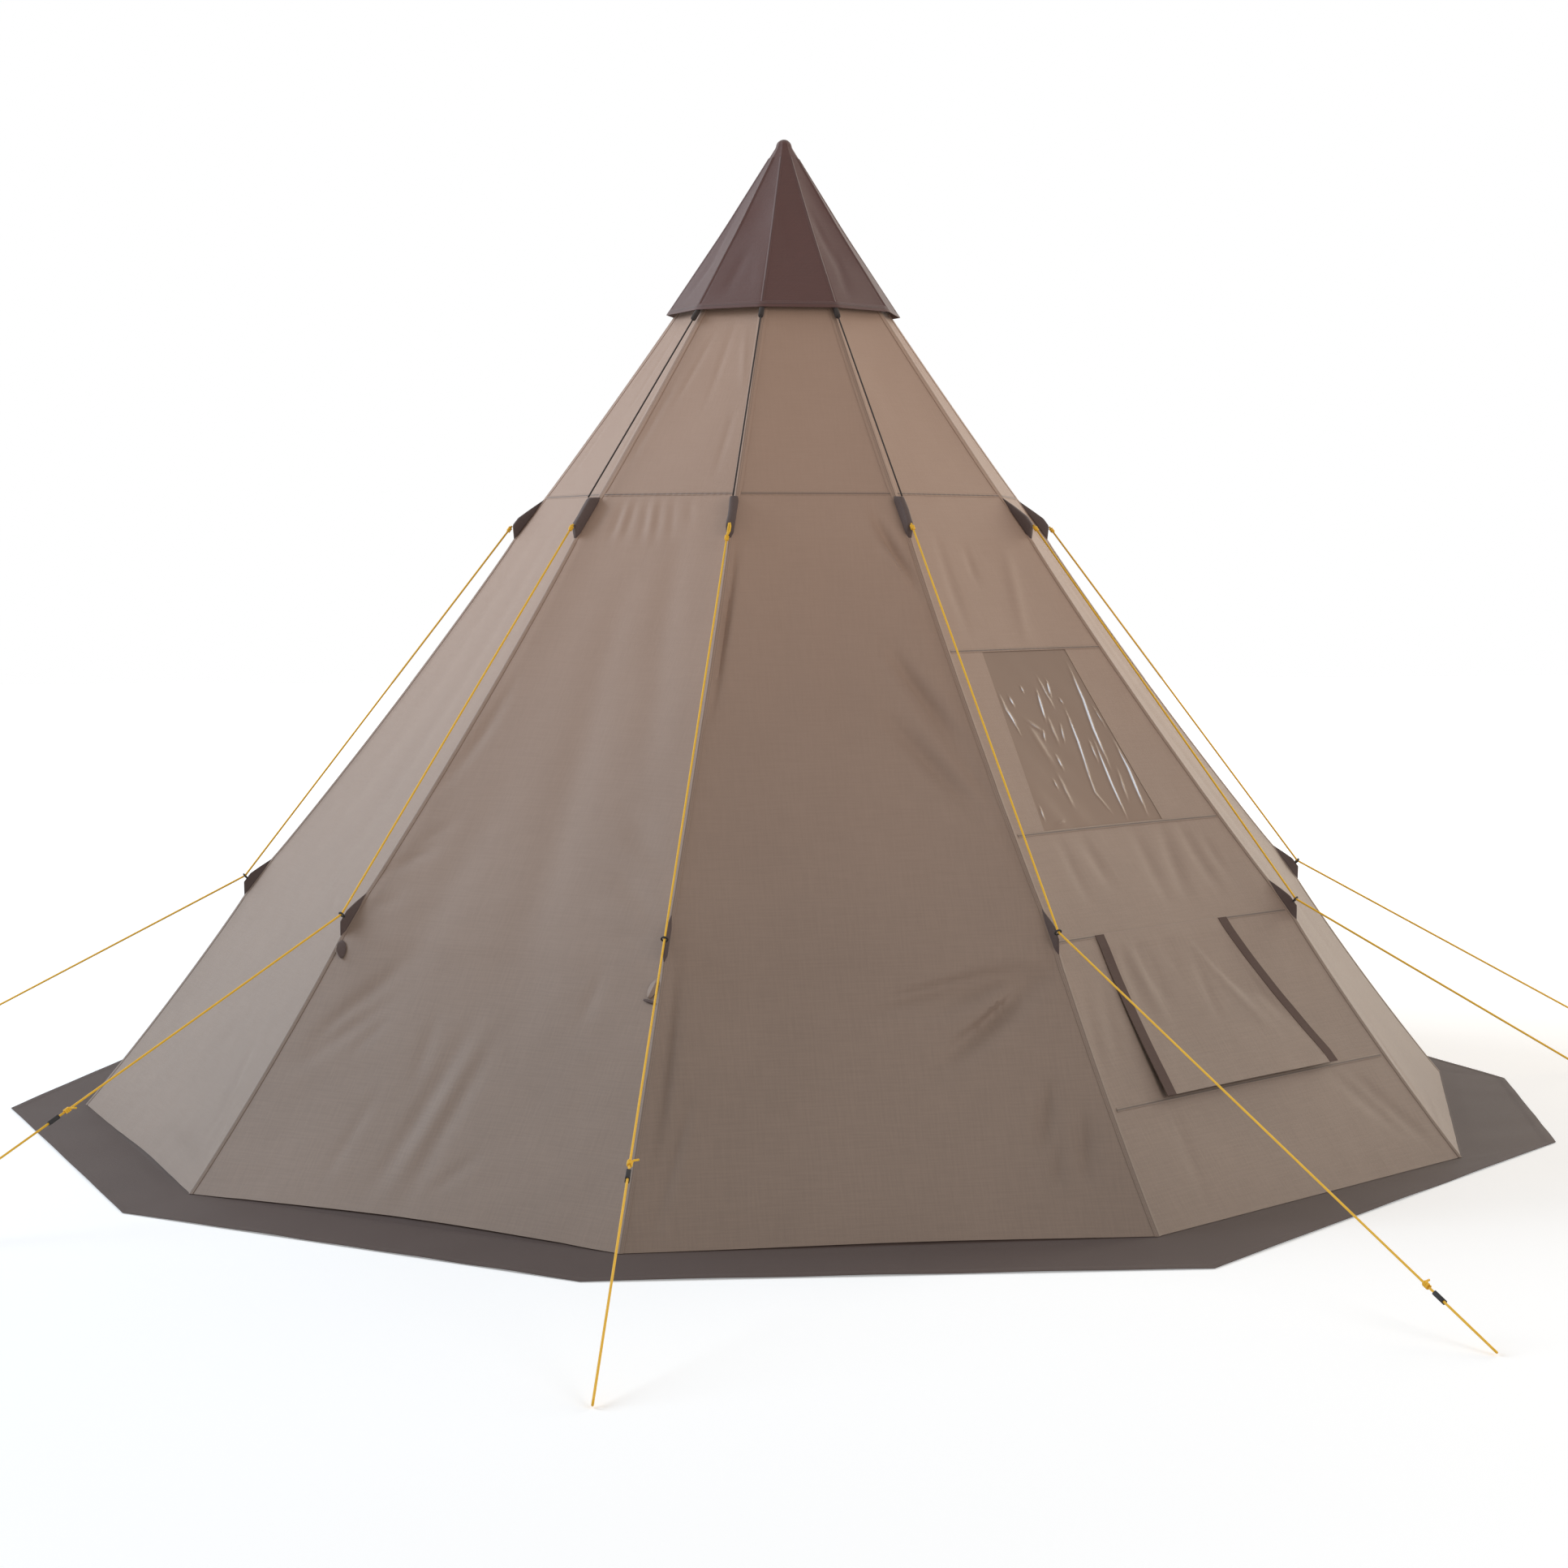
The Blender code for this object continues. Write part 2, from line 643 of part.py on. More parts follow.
def add_ridges(binding):
    """Ten ridges: tape, flaps and ring in one sewn piece. The cap's cords lift six upper flaps."""
    sewn = {}
    for tip_share in (UPPER_TIP_SHARE, CORDED_TIP_SHARE):
        upper = flap_mesh(UPPER_FLAP_HEIGHT, UPPER_FLAP_LENGTH, UPPER_FLAP_STAND,
                          tip_share, UPPER_HEEL_SHARE, UPPER_ROOT_HALF, UPPER_EDGE_HALF)
        lower = flap_mesh(LOWER_FLAP_HEIGHT, LOWER_FLAP_LENGTH, LOWER_FLAP_STAND,
                          LOWER_TIP_SHARE, LOWER_HEEL_SHARE, LOWER_ROOT_HALF, LOWER_EDGE_HALF)
        sewn[tip_share] = combined(tape_mesh(), [upper, lower, ring_mesh()], "UNION")
    for number in range(1, SIDES + 1):
        data = sewn[CORDED_TIP_SHARE if number in CORD_RIDGES else UPPER_TIP_SHARE]
        add_object(f"ridge_{number:02d}", data, binding, ridge_turn(number))


# Guy lines and their runners

def guy_foot(index):
    """Far end of a guy line's loop, just over the ground, in its ridge's axes."""
    turn = GUY_TURN_SHARES[index] * 2 * HALF_GORE
    reach = GUY_REACHES[index]
    return Vector((reach * math.cos(turn), reach * math.sin(turn), GUY_DIAMETER / 2 + LOOP_LIFT))


def guy_axes(index):
    """Corner of a guy line at its ring, then the way down, the way aside and the length below."""
    ring, foot = ring_centre(), guy_foot(index)
    first, down = (ring - guy_start()).normalized(), (foot - ring).normalized()
    sagitta = BEND_RADIUS * (1.0 / math.cos(first.angle(down) / 2) - 1.0)
    hole = (RING_RADIUS - RING_WIRE) * math.cos(math.pi / RING_STEPS)
    slack = hole - GUY_DIAMETER / 2 - GAP - sagitta
    corner = ring + (down - first).normalized() * slack
    down = (foot - corner).normalized()
    aside = Vector((0.0, 0.0, 1.0)).cross(down).normalized()
    return corner, down, aside, (foot - corner).length


def guy_route(index):
    """Points of one guy line and the share of its radius at each, in its ridge's axes."""
    corner, down, aside, length = guy_axes(index)
    first = (corner - guy_start()).normalized()
    turn = first.angle(down)
    centre = corner + (down - first).normalized() * (BEND_RADIUS / math.cos(turn / 2))
    spoke = corner - first * (BEND_RADIUS * math.tan(turn / 2)) - centre
    across = first.cross(down).normalized()
    points = [guy_start() + first * (GUY_DIAMETER / 2 + GAP)]
    points += [
        centre + Matrix.Rotation(angle, 3, across) @ spoke
        for angle in spread(0.0, turn, BEND_STEPS)
    ]
    loop = corner + down * (length - LOOP_LENGTH)
    for share in spread(0.0, 1.0, LOOP_STEPS):
        swing = math.sin(math.pi * share)
        y = STRAND_SPACING / 2 * (1.0 - math.cos(math.pi * share))
        y -= LOOP_BULGE * math.sin(2 * math.pi * share) * swing
        points.append(loop + down * (LOOP_LENGTH * swing) + aside * y)
    radii = [1.0] * len(points)
    knot = corner + down * (length - DOUBLED_LENGTHS[index]) + aside * STRAND_SPACING
    for back, share in KNOT_STEP_SHARES:
        points.append(knot + down * (KNOT_LENGTH * back))
        radii.append(share)
    return points, radii


def runner_frame(index):
    """Axes of a runner below its knot: +X down the line, +Y from the first strand to the second."""
    corner, down, aside, length = guy_axes(index)
    frame = Matrix((down, aside, down.cross(aside))).transposed().to_4x4()
    below_knot = KNOT_LENGTH * KNOT_STEP_SHARES[0][0] + RUNNER_LENGTH / 2
    start = length - DOUBLED_LENGTHS[index] + below_knot
    frame.translation = corner + down * start + aside * (STRAND_SPACING / 2)
    return frame


def runner_mesh():
    """Small rounded bar with a bore for each strand."""
    work = bmesh.new()
    bmesh.ops.create_cube(work, size=1.0, matrix=Matrix.Diagonal(
        (RUNNER_LENGTH, RUNNER_WIDTH, RUNNER_THICKNESS, 1.0)))
    long_edges = [e for e in work.edges if abs(e.verts[0].co.x - e.verts[1].co.x) > RUNNER_LENGTH / 2]
    bmesh.ops.bevel(work, geom=long_edges, offset=RUNNER_ROUNDING, segments=2, profile=0.5,
                    affect="EDGES")
    body = finished(work, "runner")
    bores = []
    wide = (GUY_DIAMETER / 2 + GAP) / math.cos(math.pi / RUNNER_BORE_SIDES)
    half = RUNNER_LENGTH / 2 + OVERRUN
    for side in (-1, 1):
        bore = turned("bore", [(0.0, -half), (wide, -half), (wide, half), (0.0, half)],
                      RUNNER_BORE_SIDES)
        bore.transform(Matrix.Translation((0.0, side * STRAND_SPACING / 2, 0.0))
                       @ Matrix.Rotation(math.pi / 2, 4, "Y"))
        bores.append(bore)
    return combined(body, bores, "DIFFERENCE")


def add_guy_lines(line, plastic):
    """Ten guy lines: flap to ring, to the ground loop, and back up through the runner to a knot."""
    runner = runner_mesh()
    for index in range(SIDES):
        number = index + 1
        curve = bpy.data.curves.new(f"guy_line_{number:02d}", "CURVE")
        curve.dimensions = "3D"
        curve.bevel_depth = GUY_DIAMETER / 2
        curve.bevel_resolution = 2
        curve.use_fill_caps = True
        points, radii = guy_route(index)
        spline = curve.splines.new("POLY")
        spline.points.add(len(points) - 1)
        for spot, point, share in zip(spline.points, points, radii):
            spot.co = (*point, 1.0)
            spot.radius = share
        add_object(f"guy_line_{number:02d}", curve, line, ridge_turn(number))
        add_object(f"runner_{number:02d}", runner, plastic, ridge_turn(number) @ runner_frame(index))


# Rain cap, its cords and the crown net

def tip_outline(inset):
    """Rounded tip from its shoulder to its top, inset from the cap's outer face."""
    radius = TIP_RADIUS - inset
    centre = APEX_HEIGHT - TIP_RADIUS
    points = [
        (radius * math.cos(a), centre + radius * math.sin(a))
        for a in spread(0.0, math.pi / 2, TIP_STEPS)
    ]
    return points[:-1] + [(0.0, points[-1][1])]


def cap_outline(inset):
    """Rain cap's face from its hem to its top, inset square to the cloth."""
    shoulder = APEX_HEIGHT - TIP_RADIUS
    slope = (CAP_HEM_RADIUS - TIP_RADIUS) / (shoulder - CAP_HEM_HEIGHT)
    level = inset * math.hypot(1.0, slope * math.cos(HALF_GORE)) / math.cos(HALF_GORE)
    middle = (CAP_HEM_HEIGHT + shoulder) / 2
    middle_radius = (CAP_HEM_RADIUS + TIP_RADIUS) / 2 - CAP_TENSION_DEPTH
    points = [(CAP_HEM_RADIUS - level, CAP_HEM_HEIGHT), (middle_radius - level, middle)]
    return points + tip_outline(inset)


def add_rain_cap(cloth):
    """Ten-sided cap, open below."""
    outline = cap_outline(0.0) + cap_outline(CAP_THICKNESS)[::-1]
    add_object("rain_cap", turned("rain_cap", outline, SIDES), cloth)


def cord_ends():
    """Ends of the cord down one ridge: inside the cap's hem, and on the upper flap's outer edge."""
    hem, middle = cap_outline(CAP_THICKNESS + GAP + TAB_DIAMETER / 2 + CORD_RING_ROOM)[:2]
    high = CAP_HEM_HEIGHT + CORD_RING_RISE
    radius = between(hem[0], middle[0], (high - hem[1]) / (middle[1] - hem[1]))
    low = ridge_point(UPPER_FLAP_HEIGHT - UPPER_FLAP_LENGTH * CORDED_TIP_SHARE,
                      UPPER_FLAP_STAND + GAP + CORD_DIAMETER / 2)
    return Vector((radius, 0.0, high)), low


def round_bar(name, start, end, stations):
    """Straight bar of changing thickness; each station is a distance from the start and a radius."""
    way = (end - start).normalized()
    side = Vector((0.0, 1.0, 0.0))
    other = way.cross(side)
    rings = []
    for distance, radius in stations:
        rings.append([
            start + way * distance + side * (radius * math.cos(a)) + other * (radius * math.sin(a))
            for a in spread(0.0, 2 * math.pi, CORD_SIDES)[:-1]
        ])
    return loft(name, rings)


def add_cap_cords(elastic):
    """Elastic harness: a cord round inside the cap's hem and one down each of six ridges."""
    head, foot = cord_ends()
    thin, thick = CORD_DIAMETER / 2, TAB_DIAMETER / 2
    outline = [
        (head.x + thin * math.cos(a), head.z + thin * math.sin(a))
        for a in spread(0.0, 2 * math.pi, CORD_SIDES)[:-1]
    ]
    stations = ((-TAB_RISE, thick), (TAB_LENGTH, thick), (TAB_LENGTH + TAB_RISE, thin),
                ((foot - head).length, thin))
    cords = []
    for number in CORD_RIDGES:
        cord = round_bar("cord", head, foot, stations)
        cord.transform(ridge_turn(number))
        cords.append(cord)
    data = combined(turned("cap_cords", outline, SIDES), cords, "UNION")
    add_object("cap_cords", data, elastic)


def crown_outline(inset):
    """Crown net's face: under the wall's top, up to a neck, then inside the cap's tip."""
    low = WALL_TOP_HEIGHT - CROWN_OVERLAP
    points = []
    for height in (low, WALL_TOP_HEIGHT):
        level = (WALL + GAP + inset) * depth_run(height) / math.cos(HALF_GORE)
        points.append((ridge_radius(height) - level, height))
    return points + tip_outline(CAP_THICKNESS + GAP + inset)


def add_crown_net(net):
    """Ventilating net that closes the canopy under the rain cap and rests on the pole's head."""
    outline = crown_outline(0.0) + crown_outline(NET)[::-1]
    add_object("crown_net", turned("crown_net", outline, SIDES), net)


# Ground skirt and centre pole

def add_skirt(cloth):
    """Flat ten-sided skirt on the ground, with its inner edge tucked in under the walls."""
    inner, outer = BASE_RADIUS - SKIRT_TUCK, BASE_RADIUS + SKIRT_WIDTH
    outline = [(inner, 0.0), (outer, 0.0), (outer, SKIRT_THICKNESS), (inner, SKIRT_THICKNESS)]
    add_object("ground_skirt", turned("ground_skirt", outline, SIDES), cloth)


def tube_outline(low, high, swaged):
    """Outline of a pole section from low to high; a swaged one narrows to fit the one below."""
    bore = POLE_RADIUS - TUBE_WALL
    neck = bore - GAP
    if not swaged:
        return [(bore, low), (POLE_RADIUS, low), (POLE_RADIUS, high), (bore, high)]
    seat = low + GAP
    end = low - SWAGE_LENGTH
    return [
        (neck - TUBE_WALL, end), (neck, end), (neck, seat), (POLE_RADIUS, seat + SWAGE_TAPER),
        (POLE_RADIUS, high), (bore, high), (bore, seat + SWAGE_TAPER), (neck - TUBE_WALL, seat),
    ]


def add_pole(steel, plastic):
    """Foot, three tubes and the rounded head."""
    plug = POLE_RADIUS - TUBE_WALL - GAP
    foot = [
        (0.0, 0.0), (FOOT_RADIUS, 0.0), (FOOT_RADIUS, FOOT_THICKNESS - FOOT_CHAMFER),
        (FOOT_RADIUS - FOOT_CHAMFER, FOOT_THICKNESS), (plug, FOOT_THICKNESS),
        (plug, FOOT_THICKNESS + PLUG_LENGTH), (0.0, FOOT_THICKNESS + PLUG_LENGTH),
    ]
    add_object("pole_foot", turned("pole_foot", foot, POLE_SIDES), plastic)
    heights = (FOOT_THICKNESS + GAP, *POLE_JOINT_HEIGHTS, HEAD_HEIGHT - GAP)
    for i, name in enumerate(("pole_bottom", "pole_middle", "pole_top")):
        outline = tube_outline(heights[i], heights[i + 1], i > 0)
        add_object(name, turned(name, outline, POLE_SIDES), steel)
    collar_top = HEAD_HEIGHT + HEAD_COLLAR_THICKNESS
    ball = tip_outline(CAP_THICKNESS + GAP + NET + GAP)
    ball_radius, centre = ball[0]
    head = [
        (0.0, HEAD_HEIGHT - PLUG_LENGTH), (plug, HEAD_HEIGHT - PLUG_LENGTH), (plug, HEAD_HEIGHT),
        (HEAD_COLLAR_RADIUS, HEAD_HEIGHT), (HEAD_COLLAR_RADIUS, collar_top),
        (HEAD_NECK_RADIUS, collar_top), (HEAD_NECK_RADIUS, centre - ball_radius),
    ]
    add_object("pole_head", turned("pole_head", head + ball, SIDES), plastic)


# The whole tent

def build():
    """Empties the scene and makes every piece."""
    for item in list(bpy.data.objects):
        bpy.data.objects.remove(item)
    cloth = material("canvas", CLOTH_COLOUR, 0.90)
    dark = material("dark_canvas", DARK_CLOTH_COLOUR, 0.90)
    binding = material("binding_tape", BINDING_COLOUR, 0.85)
    line = material("guy_cord", LINE_COLOUR, 0.70)
    elastic = material("elastic_cord", CORD_COLOUR, 0.80)
    net = material("fly_net", NET_COLOUR, 0.90)
    clear = material("clear_film", CLEAR_COLOUR, 0.10, alpha=0.35)
    steel = material("pole_steel", STEEL_COLOUR, 0.35, metallic=1.0)
    plastic = material("black_plastic", BLACK_COLOUR, 0.45)
    add_gores(cloth)
    add_ridges(binding)
    add_skirt(dark)
    add_window(clear, net)
    add_vent_flap(cloth)
    add_door(cloth)
    add_zips(material("zip_tape", CORD_COLOUR, 0.60), steel)
    add_rain_cap(dark)
    add_cap_cords(elastic)
    add_crown_net(net)
    add_pole(steel, plastic)
    add_guy_lines(line, plastic)


build()
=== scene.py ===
import math
import random

import bmesh
import bpy
import numpy as np
from mathutils import Matrix, Vector


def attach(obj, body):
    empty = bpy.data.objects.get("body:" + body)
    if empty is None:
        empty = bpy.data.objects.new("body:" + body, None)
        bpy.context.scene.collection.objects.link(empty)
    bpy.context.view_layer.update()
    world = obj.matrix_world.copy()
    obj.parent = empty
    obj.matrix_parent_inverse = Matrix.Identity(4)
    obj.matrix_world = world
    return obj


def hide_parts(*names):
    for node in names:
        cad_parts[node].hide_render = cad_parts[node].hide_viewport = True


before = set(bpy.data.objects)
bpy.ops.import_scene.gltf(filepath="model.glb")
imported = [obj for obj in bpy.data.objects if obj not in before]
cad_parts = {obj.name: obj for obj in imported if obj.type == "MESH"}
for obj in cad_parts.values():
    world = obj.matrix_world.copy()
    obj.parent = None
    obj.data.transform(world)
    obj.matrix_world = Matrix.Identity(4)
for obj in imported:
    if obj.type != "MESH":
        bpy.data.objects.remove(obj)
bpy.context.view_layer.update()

bpy.context.scene.view_settings.view_transform = "Standard"


# Camera, where the photographer stood: eye level, nine metres from the pole.
bpy.ops.object.select_all(action="DESELECT")
bpy.ops.object.camera_add(
    location=(-1.175, -9.024, 1.745),
    rotation=(math.radians(85.35), 0.0, math.radians(-7.42)),
)
camera = bpy.context.object
camera.data.sensor_width = 36.0
camera.data.lens = 64.26
bpy.context.scene.camera = camera


# Guy lines: ten braided cords, 6 mm thick. Each is tied to the heel of an upper flap, turns in the
# lower flap's ring, makes the loop for its peg on the ground and comes back through the runner to a
# stopper knot. The canopy's profile at its ridges is here because the lines start from it.
SIDES = 10
HALF_GORE = math.pi / SIDES
BASE_RADIUS = 2.245
SEAM_RADIUS, SEAM_HEIGHT = 0.767, 1.932
WALL_TOP_RADIUS, WALL_TOP_HEIGHT = 0.230, 2.686
GAP = 0.0003
TAPE_THICKNESS = 0.002
UPPER_FLAP = {"top": 1.924, "length": 0.124, "stand": 0.030, "tip": 0.60, "heel": 0.79}
CORDED_FLAP = {**UPPER_FLAP, "tip": 0.16}
LOWER_FLAP = {"top": 0.783, "length": 0.115, "stand": 0.026, "tip": 0.53, "heel": 0.77}
RING_RADIUS, RING_WIRE, RING_SIDES = 0.0085, 0.0025, 12
CORD_DIAMETER = 0.006
GROUND_ROOM = 0.002
GROUND_REACHES = (3.13, 3.16, 3.49, 3.46, 3.16, 3.08, 2.77, 2.77, 2.77, 2.62)
GROUND_TURNS = (0.0, 0.0, 0.114, 0.040, 0.0, 0.0, 0.0, 0.0, 0.0, -0.120)
DOUBLED_LENGTHS = (0.600, 0.620, 0.860, 0.250, 0.600, 0.400, 0.450, 0.450, 0.450, 0.450)
# the strands lie closer than the bores of the CAD runner, which is a wider bar than the photograph shows
STRAND_SPACING, CAD_SPACING = 0.0068, 0.014
BEND_RADIUS = 0.030
LOOP_LENGTH, LOOP_BULGE = 0.032, 0.0054
CORD_COLOUR = (1.000, 0.560, 0.030)
LOWER_SLOPE = (BASE_RADIUS - SEAM_RADIUS) / SEAM_HEIGHT
UPPER_SLOPE = (SEAM_RADIUS - WALL_TOP_RADIUS) / (WALL_TOP_HEIGHT - SEAM_HEIGHT)


def ridge_turn(number):
    """Turn of a ridge's own axes about the pole; +X runs out along the ridge."""
    return Matrix.Rotation(math.pi + (number - 1) * 2 * HALF_GORE, 4, "Z")


def ridge_radius(height):
    """Radius of the canopy's outer face at its ridges, before the cloth is drawn in."""
    return np.interp(height, (0.0, SEAM_HEIGHT, WALL_TOP_HEIGHT),
                     (BASE_RADIUS, SEAM_RADIUS, WALL_TOP_RADIUS))


def ridge_point(height, stand=0.0):
    """Point in a ridge's axes, standing off the ridge's sewn tape square to it."""
    run = math.hypot(1.0, LOWER_SLOPE * math.cos(HALF_GORE))
    lift = (GAP + TAPE_THICKNESS) * run / math.cos(HALF_GORE)
    long = math.hypot(1.0, LOWER_SLOPE)
    radius = float(ridge_radius(height)) + lift + stand / long
    return Vector((radius, 0.0, height + stand * LOWER_SLOPE / long))


def flap_spot(flap, share, stand):
    """Point of a flap, at a share of its length down from its top."""
    return ridge_point(flap["top"] - flap["length"] * share, stand)


def ring_centre():
    """Middle of the ring in the outer edge of a lower flap."""
    share = (LOWER_FLAP["tip"] + LOWER_FLAP["heel"]) / 2
    return flap_spot(LOWER_FLAP, share, LOWER_FLAP["stand"] + RING_RADIUS - RING_WIRE / 2)


def line_axes(index):
    """Corner of a guy line in its ring, the way down from it, the level way aside, the way from one
    strand to the other, which hides one behind the other for the camera, and the length below."""
    turn = GROUND_TURNS[index] * 2 * HALF_GORE
    reach = GROUND_REACHES[index]
    foot = Vector((reach * math.cos(turn), reach * math.sin(turn), CORD_DIAMETER / 2 + GROUND_ROOM))
    tied = flap_spot(UPPER_FLAP, UPPER_FLAP["heel"], UPPER_FLAP["stand"])
    ring = ring_centre()
    first, down = (ring - tied).normalized(), (foot - ring).normalized()
    sagitta = BEND_RADIUS * (1.0 / math.cos(first.angle(down) / 2) - 1.0)
    hole = (RING_RADIUS - RING_WIRE) * math.cos(math.pi / RING_SIDES)
    corner = ring + (down - first).normalized() * (hole - CORD_DIAMETER / 2 - GAP - sagitta)
    down = (foot - corner).normalized()
    level = Vector((0.0, 0.0, 1.0)).cross(down).normalized()
    view = ridge_turn(index + 1).inverted() @ camera.location - foot
    aside = (view - down * view.dot(down)).normalized()
    if aside.z < 0.0:
        aside.negate()
    return tied, corner, down, level, aside, (foot - corner).length


def line_path(index):
    """Points that a guy line follows, in world axes, from its tie to its stopper knot."""
    tied, corner, down, _, aside, length = line_axes(index)
    first = (corner - tied).normalized()
    turn = first.angle(down)
    centre = corner + (down - first).normalized() * (BEND_RADIUS / math.cos(turn / 2))
    spoke = corner - first * (BEND_RADIUS * math.tan(turn / 2)) - centre
    across = first.cross(down).normalized()
    start = tied + first * (CORD_DIAMETER / 2 + GAP)
    bend = [centre + Matrix.Rotation(turn * i / 5, 3, across) @ spoke for i in range(6)]
    points = [start.lerp(bend[0], i / 4) for i in range(4)] + bend
    loop = corner + down * (length - LOOP_LENGTH)
    points += [bend[-1].lerp(loop, i / 4) for i in range(1, 4)]
    for share in np.linspace(0.0, 1.0, 15):
        swing = math.sin(math.pi * share)
        y = STRAND_SPACING / 2 * (1.0 - math.cos(math.pi * share))
        y -= LOOP_BULGE * math.sin(2 * math.pi * share) * swing
        points.append(loop + down * (LOOP_LENGTH * swing) + aside * y)
    knot = corner + down * (length - DOUBLED_LENGTHS[index]) + aside * STRAND_SPACING
    points += [points[-1].lerp(knot, i / 3) for i in range(1, 4)]
    return [ridge_turn(index + 1) @ point for point in points]


def feed(tree, socket, value):
    """Links an output to a socket, or sets the socket to a value."""
    if isinstance(value, bpy.types.NodeSocket):
        tree.links.new(value, socket)
    else:
        socket.default_value = value


def add_node(tree, kind, sockets=None, **settings):
    """Adds a shader node; sockets gives inputs a value, or the output they are linked from."""
    made = tree.nodes.new("ShaderNode" + kind)
    for name, value in settings.items():
        setattr(made, name, value)
    for name, value in (sockets or {}).items():
        feed(tree, made.inputs[name], value)
    return made


def calc(tree, operation, *terms):
    """Output of a Math node whose terms are numbers or other outputs."""
    return add_node(tree, "Math", dict(enumerate(terms)), operation=operation).outputs[0]


def ribs(tree, value, period):
    """Rounded ribs along a value, from 0 between them to 1 on top, one in each period."""
    return calc(tree, "ABSOLUTE", calc(tree, "SINE", calc(tree, "MULTIPLY", value, math.pi / period)))


def ramp(tree, value, low, high, start=0.0, end=1.0):
    """Smooth step of a value from start, at low, to end, at high."""
    sockets = {"Value": value, "From Min": low, "From Max": high, "To Min": start, "To Max": end}
    return add_node(tree, "MapRange", sockets, interpolation_type="SMOOTHSTEP").outputs[0]


def blended(tree, kind, share, first, second):
    """Colour mixed from two, each a colour or an output."""
    mix = add_node(tree, "Mix", {0: share}, data_type="RGBA", blend_type=kind)
    for socket, value in ((mix.inputs[6], first), (mix.inputs[7], second)):
        feed(tree, socket, (*value, 1.0) if isinstance(value, tuple) else value)
    return mix.outputs[2]


def shaded(colour, share):
    """A colour times a share."""
    return tuple(c * share for c in colour)


def split(tree, vector):
    """Outputs X, Y and Z of a vector."""
    return add_node(tree, "SeparateXYZ", {0: vector}).outputs


def noise(tree, vector, scale, detail, **more):
    """Noise node at a place; its outputs are Fac and Color."""
    sockets = {"Vector": vector, "Scale": scale, "Detail": detail, **more}
    return add_node(tree, "TexNoise", sockets).outputs


def new_effect(name, inputs, outputs):
    """Empty node group with its sockets, for an effect that several finishes use."""
    tree = bpy.data.node_groups.new(name, "ShaderNodeTree")
    for label, value in inputs.items():
        kind = "NodeSocketVector" if value is None else "NodeSocketFloat"
        socket = tree.interface.new_socket(name=label, in_out="INPUT", socket_type=kind)
        if value is not None:
            socket.default_value = value
    for label in outputs:
        tree.interface.new_socket(name=label, in_out="OUTPUT", socket_type="NodeSocketFloat")
    return tree, tree.nodes.new("NodeGroupInput").outputs, tree.nodes.new("NodeGroupOutput").inputs


def placed(tree, effect, **sockets):
    """Outputs of an effect's node inside a material."""
    made = tree.nodes.new("ShaderNodeGroup")
    made.node_tree = effect
    for name, value in sockets.items():
        feed(tree, made.inputs[name], value)
    return made.outputs


def new_finish(name, roughness, **constants):
    """Material, its node tree and its shader's inputs; constants are numbers on those inputs."""
    made = bpy.data.materials.new(name)
    made.use_nodes = True
    inputs = made.node_tree.nodes["Principled BSDF"].inputs
    for label, value in {"Roughness": roughness, **constants}.items():
        inputs[label.replace("_", " ")].default_value = value
    return made, made.node_tree, inputs


def with_bump(tree, inputs, height, distance):
    """Feeds a height in metres times distance to the shader's normal."""
    bump = add_node(tree, "Bump", {"Height": height, "Distance": distance, "Strength": 1.0})
    feed(tree, inputs["Normal"], bump.outputs["Normal"])


# plaited strands: the map's U runs once round the cord and its V along it in metres
plait, given, result = new_effect("plaited strands", {"Vector": None, "Strands": 8.0, "Pitch": 0.012},
                                  ("Strand",))
around = calc(plait, "MULTIPLY", split(plait, given["Vector"])["X"], given["Strands"])
along = calc(plait, "DIVIDE", split(plait, given["Vector"])["Y"], given["Pitch"])
waves = [ribs(plait, calc(plait, operation, around, along), 1.0) for operation in ("ADD", "SUBTRACT")]
feed(plait, result["Strand"], calc(plait, "MAXIMUM", *waves))


def cord_finish(name, colour, shade, strands, pitch, roughness):
    """Plaited cord: lighter on top of each strand, darker between strands, which is painted shade in the
    hollows.
    """
    made, tree, inputs = new_finish(name, roughness, Sheen_Weight=0.05)
    uv = add_node(tree, "UVMap").outputs["UV"]
    strand = placed(tree, plait, Vector=uv, Strands=strands, Pitch=pitch)["Strand"]
    # painted shade: the cord's colour darkens into the hollows between its strands
    strand_shade = blended(tree, "MIX", ramp(tree, strand, 0.35, 0.95), shaded(colour, shade), colour)
    worn = blended(tree, "MULTIPLY", 0.12, strand_shade, noise(tree, uv, 9.0, 3.0)["Color"])
    feed(tree, inputs["Base Color"], worn)
    with_bump(tree, inputs, strand, 0.0004)
    return made


def add_piece(name, data):
    """Object for a mesh or a light, linked into the scene."""
    piece = bpy.data.objects.new(name, data)
    bpy.context.scene.collection.objects.link(piece)
    return piece


def loft(name, rings, place, closed=False):
    """Mesh through closed rings of points; place gives the map at (ring, step round it)."""
    work = bmesh.new()
    layer = work.loops.layers.uv.new("UVMap")
    rings = [[work.verts.new(point) for point in ring] for ring in rings]
    sides = len(rings[0])
    for i in range(len(rings) if closed else len(rings) - 1):
        low, high = rings[i], rings[(i + 1) % len(rings)]
        for k in range(sides):
            n = (k + 1) % sides
            face = work.faces.new((low[k], low[n], high[n], high[k]))
            face.smooth = True
            for loop, at in zip(face.loops, ((i, k), (i, k + 1), (i + 1, k + 1), (i + 1, k))):
                loop[layer].uv = place(*at)
    if not closed:
        work.faces.new(rings[0][::-1])
        work.faces.new(rings[-1])
    bmesh.ops.recalc_face_normals(work, faces=work.faces)
    data = bpy.data.meshes.new(name)
    work.to_mesh(data)
    work.free()
    return add_piece(name, data)


